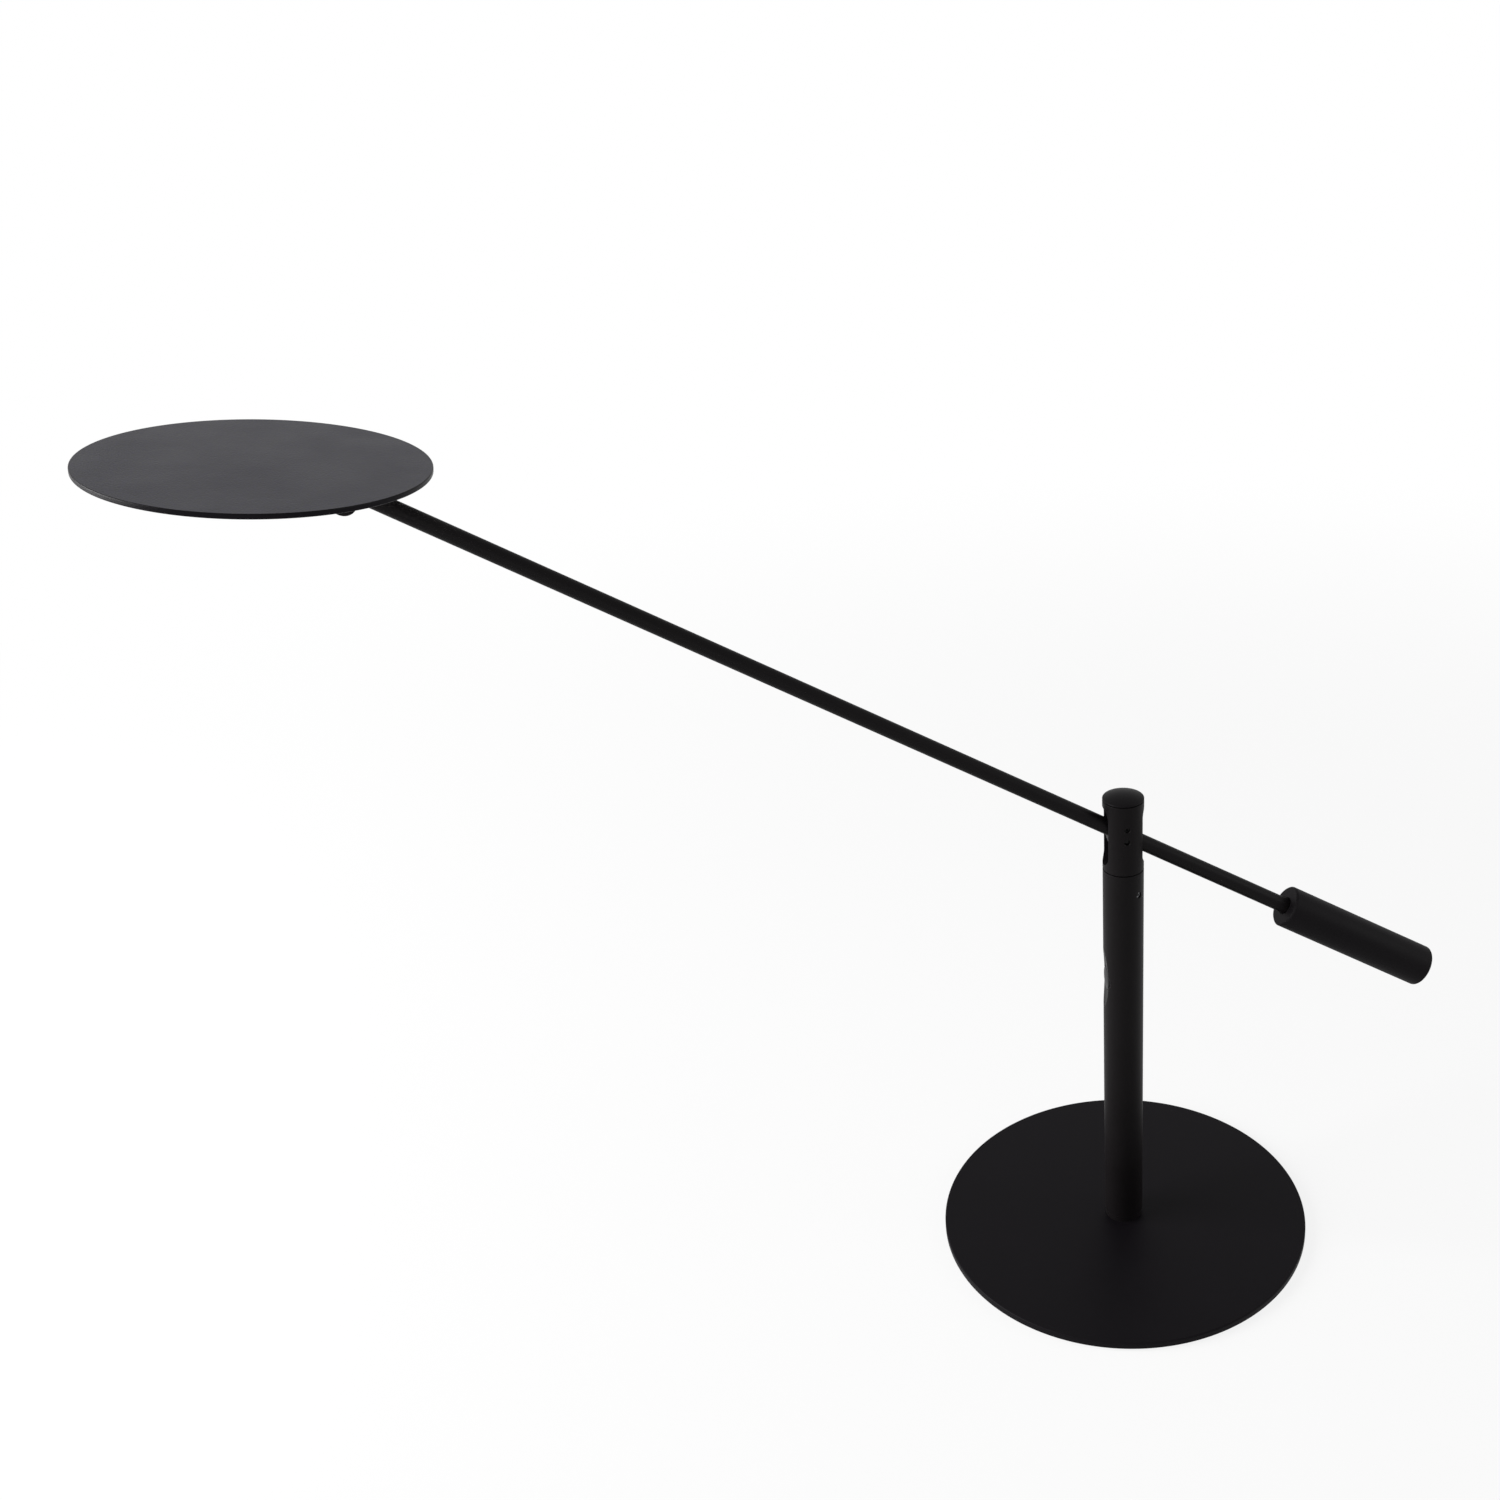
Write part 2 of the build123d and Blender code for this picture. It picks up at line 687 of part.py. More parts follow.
save("hinge_washers", both_sides(make_hinge_washer))
save("ear_screws", make_ear_screws())
save("light_shell", make_light_shell())
save("reflector_film", make_reflector_film())
save("light_guide", make_light_guide())
save("diffuser", make_diffuser())
save("led_strip", make_led_strip())
save("edge_leds", make_edge_leds())
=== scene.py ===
"""Counterweight balance desk lamp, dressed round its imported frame.

Sizes are written in millimetres and turned into metres where a mesh is made. The frame has +Z up and
its origin at the centre of the base's underside; the arm lies in the XZ plane, with the light towards
-X and the counterweight towards +X.
"""

import logging
from abc import ABC, abstractmethod
from dataclasses import dataclass
from enum import Enum
from functools import lru_cache
from math import asin, ceil, cos, pi, radians, sin
from typing import Callable, ClassVar, Optional, Union

import bmesh
import bpy
from mathutils import Matrix, Vector


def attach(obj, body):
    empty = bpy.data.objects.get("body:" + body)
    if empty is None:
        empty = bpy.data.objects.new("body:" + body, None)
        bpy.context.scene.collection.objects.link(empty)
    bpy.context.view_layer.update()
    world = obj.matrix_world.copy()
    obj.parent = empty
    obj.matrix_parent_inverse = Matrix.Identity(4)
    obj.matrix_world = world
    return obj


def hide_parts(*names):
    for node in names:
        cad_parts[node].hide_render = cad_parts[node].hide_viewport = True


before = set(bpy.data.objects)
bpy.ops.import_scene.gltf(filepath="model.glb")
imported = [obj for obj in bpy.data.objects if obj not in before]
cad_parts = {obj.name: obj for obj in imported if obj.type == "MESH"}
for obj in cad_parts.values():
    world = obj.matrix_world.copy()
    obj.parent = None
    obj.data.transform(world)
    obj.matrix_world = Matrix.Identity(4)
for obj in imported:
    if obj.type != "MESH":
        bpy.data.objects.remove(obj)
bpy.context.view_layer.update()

MM = 0.001
SAME_POINT = 1e-7  # in metres
MERGE_REACH = 1e-6  # in metres
Point = tuple[float, float, float]
Colour = tuple[float, float, float, float]
WHITE: Colour = (1.0, 1.0, 1.0, 1.0)
Piece = bpy.types.Object
Material = bpy.types.Material
Socket = bpy.types.NodeSocket

log = logging.getLogger("lamp")


def srgb(red: int, green: int, blue: int) -> Colour:
    """A colour as it looks on a screen, turned into the linear values that a shader takes.

    Args:
        red: Red, from 0 to 255.
        green: Green, from 0 to 255.
        blue: Blue, from 0 to 255.

    Returns:
        The linear red, green, blue and an alpha of 1.
    """

    def linear(level: int) -> float:
        """One channel in linear light."""
        share = level / 255
        return share / 12.92 if share <= 0.04045 else ((share + 0.055) / 1.055) ** 2.4

    return (linear(red), linear(green), linear(blue), 1.0)


class Body(Enum):
    """The bodies that the pieces ride on."""

    BASE = "base"
    BUTTON = "button"
    STEM_HEAD = "stem_head"
    ARM = "arm"
    LIGHT = "light"


class Joining(Enum):
    """What a second solid does to the first."""

    CUT = "DIFFERENCE"
    FUSE = "UNION"
    SHARE = "INTERSECT"


# ---------------------------------------------------------------- shader maths


class Signal:
    """A number carried by a shader socket. Python's operators on it add Math nodes."""

    def __init__(self, net: "Network", socket: Socket) -> None:
        """Wraps a socket of a network.

        Args:
            net: The network that the socket is in.
            socket: The output socket that carries the number.
        """
        self.net = net
        self.socket = socket

    def _math(self, operation: str, other: "Operand", clamp: bool = False) -> "Signal":
        """Adds one Math node.

        Args:
            operation: The node's operation.
            other: Its second value. The first is this.
            clamp: Whether the result stays between 0 and 1.

        Returns:
            The node's result.
        """
        settings = {"operation": operation, "use_clamp": clamp}
        node = self.net.node("ShaderNodeMath", settings, {0: self, 1: other})
        return Signal(self.net, node.outputs[0])

    def __add__(self, other: "Operand") -> "Signal":
        """This plus another."""
        return self._math("ADD", other)

    __radd__ = __add__

    def __sub__(self, other: "Operand") -> "Signal":
        """This less another."""
        return self._math("SUBTRACT", other)

    def __mul__(self, other: "Operand") -> "Signal":
        """This times another."""
        return self._math("MULTIPLY", other)

    def most(self, other: "Operand") -> "Signal":
        """The larger of this and another."""
        return self._math("MAXIMUM", other)

    def clamped(self) -> "Signal":
        """This, kept between 0 and 1."""
        return self._math("ADD", 0.0, clamp=True)

    def ramp(self, low: float, high: float) -> "Signal":
        """A smooth step.

        Args:
            low: Where the step starts, at 0.
            high: Where the step ends, at 1. It may lie below low.

        Returns:
            The step of this value.
        """
        node = self.net.node(
            "ShaderNodeMapRange",
            {"interpolation_type": "SMOOTHSTEP"},
            {"Value": self, "From Min": low, "From Max": high},
        )
        return Signal(self.net, node.outputs["Result"])


Operand = Union[Signal, float]


class Network:
    """The shader nodes of one material or of the world."""

    PEBBLE_SOFTNESS: ClassVar[float] = 0.6  # how much neighbouring pebbles blend
    ALIKE: ClassVar[tuple[float, float]] = (0.985, 0.8)  # the two normals' product, off an edge and on it

    def __init__(self, tree: bpy.types.NodeTree) -> None:
        """Empties a node tree and keeps it.

        Args:
            tree: The tree to build in.
        """
        self.tree = tree
        tree.nodes.clear()

    def node(
        self, kind: str, settings: Optional[dict] = None, inputs: Optional[dict] = None
    ) -> bpy.types.Node:
        """Adds a node.

        Args:
            kind: The node's type.
            settings: Its own settings, set first.
            inputs: Values or links of its sockets, by name or number.

        Returns:
            The node.
        """
        node = self.tree.nodes.new(kind)
        for name, value in (settings or {}).items():
            setattr(node, name, value)
        for name, value in (inputs or {}).items():
            if isinstance(value, Signal):
                value = value.socket
            if isinstance(value, Socket):
                self.tree.links.new(value, node.inputs[name])
            else:
                node.inputs[name].default_value = value
        return node

    def place(self) -> Socket:
        """The point of the surface, in the object's own metres."""
        return self.node("ShaderNodeTexCoord").outputs["Object"]

    def noise(self, size: float, detail: float) -> Signal:
        """Cloudy noise about 0.5.

        Args:
            size: The size of one cloud in millimetres.
            detail: How many finer layers it has.

        Returns:
            The noise.
        """
        inputs = {"Vector": self.place(), "Scale": 1 / (size * MM), "Detail": detail}
        return Signal(self, self.node("ShaderNodeTexNoise", {}, inputs).outputs["Fac"])

    def pebbles(self, size: float) -> Signal:
        """Rounded cells, 0 at a cell's middle.

        Args:
            size: The size of one cell in millimetres.

        Returns:
            The distance from the middle of the nearest cell, as a share of its size.
        """
        inputs = {"Vector": self.place(), "Scale": 1 / (size * MM), "Smoothness": self.PEBBLE_SOFTNESS}
        node = self.node("ShaderNodeTexVoronoi", {"feature": "SMOOTH_F1"}, inputs)
        return Signal(self, node.outputs["Distance"])

    def edges(self, width: float) -> Signal:
        """Where the surface turns a corner.

        Args:
            width: How far the mark reaches from the corner, in millimetres.

        Returns:
            1 on an edge and 0 away from it.
        """
        rounded = self.node("ShaderNodeBevel", {"samples": 4}, {"Radius": width * MM}).outputs["Normal"]
        flat = self.node("ShaderNodeNewGeometry").outputs["Normal"]
        dot = self.node("ShaderNodeVectorMath", {"operation": "DOT_PRODUCT"}, {0: rounded, 1: flat})
        return Signal(self, dot.outputs["Value"]).ramp(*self.ALIKE)

    def mix(self, factor: Operand, first: object, second: object) -> Socket:
        """Blends two colours.

        Args:
            factor: 0 for the first colour, 1 for the second.
            first: The first colour, or a socket that carries it.
            second: The second colour, or a socket that carries it.

        Returns:
            The socket of the blended colour.
        """
        node = self.node("ShaderNodeMix", {"data_type": "RGBA"}, {"Factor": factor, 6: first, 7: second})
        return node.outputs[2]

    def relief(self, height: Signal, depth: float) -> Socket:
        """Bumps for a shader's Normal.

        Args:
            height: The height, from 0 to 1.
            depth: What a height of 1 stands for, in millimetres.

        Returns:
            The socket of the bumped normal.
        """
        bump = self.node("ShaderNodeBump", {}, {"Strength": 1.0, "Distance": depth * MM, "Height": height})
        return bump.outputs["Normal"]

    def close(self, shader: Socket, kind: str = "ShaderNodeOutputMaterial") -> None:
        """Ends the network in its output.

        Args:
            shader: The socket of the finished shader.
            kind: The type of the output node.
        """
        self.node(kind, {}, {"Surface": shader})


# ---------------------------------------------------------------- finishes


def scaled(colour: Colour, factor: float, lift: float = 0.0) -> Colour:
    """A lighter or darker version of a colour.

    Args:
        colour: The colour.
        factor: What its channels are multiplied by.
        lift: What is added to them.

    Returns:
        The new colour.
    """
    return tuple(min(1.0, channel * factor + lift) for channel in colour[:3]) + (1.0,)


@dataclass(frozen=True)
class Finish(ABC):
    """A finish, which makes a material of one Principled shader."""

    name: str  # the material's name
    colour: Colour  # its main colour

    @abstractmethod
    def paint(self, net: Network) -> dict:
        """What feeds the sockets that vary over the surface, by their names."""

    @abstractmethod
    def constants(self) -> dict:
        """The values of the other sockets, by their names."""

    def material(self) -> Material:
        """Makes the material.

        Returns:
            The material.
        """
        material = bpy.data.materials.new(self.name)
        material.use_nodes = True
        net = Network(material.node_tree)
        inputs = {**self.constants(), **self.paint(net)}
        net.close(net.node("ShaderNodeBsdfPrincipled", {}, inputs).outputs["BSDF"])
        return material


@dataclass(frozen=True)
class PowderCoat(Finish):
    """Baked powder coat: a pebbled matt skin that thins and polishes a little along the edges, which are
    painted lighter, partly as wear and partly as a painted highlight.
    """

    worn_highlit_edge_colour: Colour  # its colour along the edges: the thin worn coat together with a painted highlight
    roughness: float = 0.55
    gloss: float = 0.2  # the strength of its reflection, where 0.5 is plain plastic
    grain: float = 0.35  # the size of one pebble in millimetres
    depth: float = 0.012  # how high a pebble stands in millimetres
    edge_width: float = 0.5  # how far the lighter edge, worn coat and painted highlight, reaches from an edge, in millimetres
    mottle: float = 0.25  # how much the colour wanders
    speckle: float = 0.12  # how much single pebbles differ in colour

    CLOUD: ClassVar[float] = 28.0  # the size of the clouds in its colour, in millimetres
    FINE: ClassVar[float] = 1.7  # the size of the fine noise, in pebbles
    WEAR_AND_HIGHLIGHT: ClassVar[tuple[float, float]] = (0.35, 0.8)  # how strongly an edge is lightened by wear and painted highlight: everywhere, and more with the clouds
    POLISH: ClassVar[float] = 0.12  # how much smoother a worn edge is
    UNEVEN: ClassVar[tuple[float, float]] = (0.12, 0.1)  # roughness, with the clouds and the fine noise

    def paint(self, net: Network) -> dict:
        """Works out what varies over the coat.

        Args:
            net: The material's network.

        Returns:
            What feeds the sockets that vary, by their names.
        """
        clouds = net.noise(self.CLOUD, 3.0)
        fine = net.noise(self.grain * self.FINE, 2.0)
        cells = net.pebbles(self.grain)
        least, more = self.WEAR_AND_HIGHLIGHT
        wide, close = self.UNEVEN
        # Edges are painted lighter: partly wear of the thin coat, partly a painted highlight on the rounded
        # edges.
        wear_and_highlight = net.edges(self.edge_width) * (least + clouds * more)
        shade = (clouds - 0.5) * self.mottle + (fine - 0.5) * self.speckle * 2
        coat = net.mix((shade + 0.5).clamped(), scaled(self.colour, 0), scaled(self.colour, 2))
        return {
            "Base Color": net.mix(wear_and_highlight.clamped(), coat, self.worn_highlit_edge_colour),
            "Roughness": (clouds - 0.5) * wide + (fine - 0.5) * close + self.roughness - wear_and_highlight * self.POLISH,
            "Normal": net.relief(fine * 0.5 - cells, self.depth),
        }

    def constants(self) -> dict:
        """The values of the other sockets."""
        return {"Specular IOR Level": self.gloss}


@dataclass(frozen=True)
class Plastic(Finish):
    """Moulded plastic or rubber with a fine spark-eroded skin."""

    roughness: float = 0.5
    grain: float = 0.3  # the size of the skin's texture in millimetres
    depth: float = 0.006  # the height of the texture in millimetres
    gloss: float = 0.4  # the strength of its reflection

    CLOUD: ClassVar[float] = 9.0  # the size of the dusty patches in millimetres
    DUST: ClassVar[tuple[float, float]] = (0.8, 0.012)  # how dust dims and lifts the colour
    UNEVEN: ClassVar[float] = 0.15  # how much the roughness changes with it

    def paint(self, net: Network) -> dict:
        """Works out what varies over the plastic.

        Args:
            net: The material's network.

        Returns:
            What feeds the sockets that vary, by their names.
        """
        clouds = net.noise(self.CLOUD, 3.0)
        fine = net.noise(self.grain, 2.0)
        return {
            "Base Color": net.mix(clouds.ramp(0.35, 0.75), self.colour, scaled(self.colour, *self.DUST)),
            "Roughness": (clouds - 0.5) * self.UNEVEN + self.roughness,
            "Normal": net.relief(fine, self.depth),
        }

    def constants(self) -> dict:
        """The values of the other sockets."""
        return {"Specular IOR Level": self.gloss}


@dataclass(frozen=True)
class TurnedMetal(Finish):
    """Bare or blackened metal with fine tool marks and faint handling marks."""

    roughness: float = 0.3
    metallic: float = 1.0  # 1 for bare metal, less for a blackened skin
    marks: float = 0.12  # the spacing of the tool marks in millimetres

    CLOUD: ClassVar[float] = 3.0  # the size of the handling marks in millimetres
    DARK: ClassVar[float] = 0.7  # how dark they are
    MARK_DEPTH: ClassVar[float] = 0.004  # the depth of the tool marks in millimetres
    UNEVEN: ClassVar[tuple[float, float]] = (0.2, 0.1)  # roughness, with the handling and the tool marks

    def paint(self, net: Network) -> dict:
        """Works out what varies over the metal.

        Args:
            net: The material's network.

        Returns:
            What feeds the sockets that vary, by their names.
        """
        clouds = net.noise(self.CLOUD, 3.0)
        lines = net.noise(self.marks, 1.0)
        wide, close = self.UNEVEN
        return {
            "Base Color": net.mix(clouds.ramp(0.3, 0.8), self.colour, scaled(self.colour, self.DARK)),
            "Roughness": (clouds - 0.5) * wide + (lines - 0.5) * close + self.roughness,
            "Normal": net.relief(lines, self.MARK_DEPTH),
        }

    def constants(self) -> dict:
        """The values of the other sockets."""
        return {"Metallic": self.metallic}


@dataclass(frozen=True)
class OpalAcrylic(Finish):
    """Milky acrylic that scatters the light behind it."""

    roughness: float = 0.35
    depth_of_light: float = 1.2  # how far light wanders inside, in millimetres

    CLOUD: ClassVar[float] = 40.0  # the size of its warmer patches in millimetres
    WARM: ClassVar[tuple[float, float]] = (0.985, 0.95)  # how much green and blue they keep
    SKIN: ClassVar[tuple[float, float]] = (0.5, 0.003)  # the size and depth of its skin's texture
    UNEVEN: ClassVar[float] = 0.08  # how much the skin's roughness changes
    SCATTER: ClassVar[float] = 0.6  # the share of the light that wanders

    def paint(self, net: Network) -> dict:
        """Works out what varies over the acrylic.

        Args:
            net: The material's network.

        Returns:
            What feeds the sockets that vary, by their names.
        """
        size, depth = self.SKIN
        clouds = net.noise(self.CLOUD, 2.0)
        fine = net.noise(size, 1.0)
        red, green, blue, _ = self.colour
        warm = (red, green * self.WARM[0], blue * self.WARM[1], 1.0)
        return {
            "Base Color": net.mix(clouds.ramp(0.3, 0.7), self.colour, warm),
            "Roughness": (fine - 0.5) * self.UNEVEN + self.roughness,
            "Normal": net.relief(fine, depth),
        }

    def constants(self) -> dict:
        """The values of the other sockets."""
        radius = (self.depth_of_light * MM,) * 3
        return {"Subsurface Weight": self.SCATTER, "Subsurface Radius": radius, "Subsurface Scale": 1.0}


@dataclass(frozen=True)
class BoardLacquer(Finish):
    """A circuit board's lacquer, with copper runs showing faintly through it."""

    run_colour: Colour  # the lacquer over copper

    RUN: ClassVar[float] = 2.5  # the spacing of the runs in millimetres
    RUN_HEIGHT: ClassVar[float] = 0.03  # in millimetres
    ROUGHNESS: ClassVar[float] = 0.4
    RUN_SHINE: ClassVar[float] = -0.1  # how the roughness changes over copper

    def paint(self, net: Network) -> dict:
        """Works out what varies over the board.

        Args:
            net: The material's network.

        Returns:
            What feeds the sockets that vary, by their names.
        """
        runs = net.noise(self.RUN, 0.0).ramp(0.48, 0.52)
        return {
            "Base Color": net.mix(runs, self.colour, self.run_colour),
            "Roughness": runs * self.RUN_SHINE + self.ROUGHNESS,
            "Normal": net.relief(runs, self.RUN_HEIGHT),
        }

    def constants(self) -> dict:
        """The values of the other sockets: none."""
        return {}


BLACK = srgb(16, 14, 15)
# Light edge colour: worn coat and a painted highlight along the edges.
EDGE = srgb(46, 45, 46)
BASE_COAT = PowderCoat(
    "base_coat", srgb(12, 10, 13), srgb(20, 19, 21), roughness=0.5, gloss=0.056, grain=0.45
)
# The stem's light edge colour is mostly a painted highlight along the tube's rims, such as the bright line
# at its foot.
STEM_COAT = PowderCoat(
    "stem_coat", BLACK, srgb(50, 48, 49), roughness=0.46, gloss=0.06, grain=0.3, depth=0.008
)
HEAD_COAT = PowderCoat(
    "head_coat", BLACK, srgb(24, 22, 24), roughness=0.46, gloss=0.058, grain=0.3, depth=0.008
)
# The knuckle's black painted darker for the cap: painted shade.
CAP_SHADED_COAT = PowderCoat(
    "cap_shaded_coat", srgb(11, 9, 11), srgb(13, 12, 13), roughness=0.46, gloss=0.065, grain=0.3, depth=0.008
)
ARM_COAT = PowderCoat("arm_coat", BLACK, EDGE, roughness=0.47, gloss=0.07, grain=0.3, depth=0.007)
WEIGHT_COAT = PowderCoat("weight_coat", srgb(14, 12, 14), srgb(38, 36, 38), roughness=0.55, gloss=0.06)
LIGHT_COAT = PowderCoat(
    "light_coat",
    srgb(17, 15, 28),
    srgb(24, 22, 30),
    roughness=0.45,
    gloss=0.15,
    grain=0.7,
    depth=0.07,
    edge_width=0.15,
    mottle=0.12,
    speckle=1.2,
)
# The light's coat painted darker for the rim: painted shade where the rim faces away from the light that
# brightens the top.
RIM_SHADED_COAT = PowderCoat(
    "rim_shaded_coat",
    srgb(14, 12, 16),
    srgb(24, 23, 26),
    roughness=0.36,
    gloss=0.06,
    grain=0.5,
    depth=0.02,
    edge_width=0.25,
)
HINGE_COAT = PowderCoat("hinge_coat", BLACK, EDGE, roughness=0.5, gloss=0.06, grain=0.3, edge_width=0.35)
# Near black for the swivel bush: painted shadow in the seam between stem and knuckle.
BUSH_SEAM_SHADE = PowderCoat(
    "bush_seam_shade", srgb(6, 5, 6), srgb(6, 5, 6), roughness=0.7, gloss=0.015, grain=0.2, depth=0.004
)
PAD_RUBBER = Plastic("pad_rubber", srgb(34, 33, 34), roughness=0.85, grain=1.2, depth=0.06, gloss=0.2)
INLET_RUBBER = Plastic("inlet_rubber", srgb(24, 24, 25), roughness=0.7, gloss=0.25)
BUTTON_PLASTIC = Plastic(
    "button_plastic", srgb(20, 18, 20), roughness=0.45, grain=0.25, depth=0.003, gloss=0.14
)
HOUSING_PLASTIC = Plastic("housing_plastic", srgb(26, 26, 27), roughness=0.6)
LEAD_SLEEVE = Plastic("lead_sleeve", srgb(218, 218, 214), roughness=0.45, grain=0.6)
FILM_WHITE = Plastic("film_white", srgb(240, 240, 238), roughness=0.5, grain=0.4, depth=0.002)
STRIP_WHITE = Plastic("strip_white", srgb(236, 236, 232), roughness=0.45, grain=0.4, depth=0.003)
LED_YELLOW = Plastic("led_yellow", srgb(236, 204, 92), roughness=0.35, grain=0.3, depth=0.004)
GUIDE_CLEAR = OpalAcrylic("guide_clear", srgb(228, 234, 232), roughness=0.15, depth_of_light=3.0)
DIFFUSER_OPAL = OpalAcrylic("diffuser_opal", srgb(238, 238, 234))
BRIGHT_STEEL = TurnedMetal("bright_steel", srgb(168, 168, 170), roughness=0.3)
BLACK_STEEL = TurnedMetal("black_steel", srgb(13, 12, 13), roughness=0.5, metallic=0.7)
PLUG_STEEL = TurnedMetal("plug_steel", srgb(160, 161, 164), roughness=0.4, marks=0.3)
BOARD_GREEN = BoardLacquer("board_green", srgb(22, 84, 52), srgb(44, 118, 74))


@lru_cache(maxsize=None)
def dressed(finish: Finish) -> Material:
    """The one material of a finish.

    Args:
        finish: The finish.

    Returns:
        Its material, made the first time that it is asked for.
    """
    return finish.material()


# ---------------------------------------------------------------- modelling bench


@dataclass(frozen=True)
class Corner:
    """A corner of a turned outline."""

    radius: float  # distance from the axis in millimetres
    height: float  # place along the axis in millimetres
    rounding: float = 0.0  # how far it is rounded off along each side, in millimetres


@dataclass(frozen=True)
class Frame:
    """A frame in space, whose Y axis is the world's."""

    origin: Point = (0.0, 0.0, 0.0)  # in millimetres
    dip: float = 0.0  # how far its X axis dips towards +X, in degrees

    def matrix(self) -> Matrix:
        """The frame as a matrix in metres."""
        return Matrix.Translation(Vector(self.origin) * MM) @ Matrix.Rotation(radians(self.dip), 4, "Y")

    def point(self, local: Point) -> Point:
        """A point of this frame in the world, in millimetres."""
        return tuple(self.matrix() @ (Vector(local) * MM) / MM)


WORLD = Frame()
ORIGIN: Point = (0.0, 0.0, 0.0)
UP: Point = (0.0, 0.0, 1.0)
ALONG_X: Point = (1.0, 0.0, 0.0)
ALONG_Y: Point = (0.0, 1.0, 0.0)


def sleeve(inner: float, outer: float, first: float, last: float, rounding: float = 0.0) -> list[Corner]:
    """The outline of a tube or a ring, or of a rod where its inner radius is 0.

    Args:
        inner: The inner radius.
        outer: The outer radius.
        first: The height of one end.
        last: The height of the other end.
        rounding: How far the outer rims are rounded.

    Returns:
        Its corners.
    """
    return [
        Corner(inner, first),
        Corner(outer, first, rounding),
        Corner(outer, last, rounding),
        Corner(inner, last),
    ]


def dome(radius: float, rim_height: float, rise: float, rim_round: float) -> list[Corner]:
    """The outline of a shallow dome, from its top on the axis to its rim.

    Args:
        radius: The radius of the rim.
        rim_height: The height of the rim.
        rise: How far the top stands above the rim.
        rim_round: How far the rim is rounded.

    Returns:
        Its corners.
    """
    ball = (radius**2 + rise**2) / (2 * rise)
    reach = asin(radius / ball)
    steps = 9
    turns = [reach * i / steps for i in range(steps)]
    corners = [Corner(ball * sin(t), rim_height + rise - ball * (1 - cos(t))) for t in turns]
    return corners + [Corner(radius, rim_height, rim_round)]


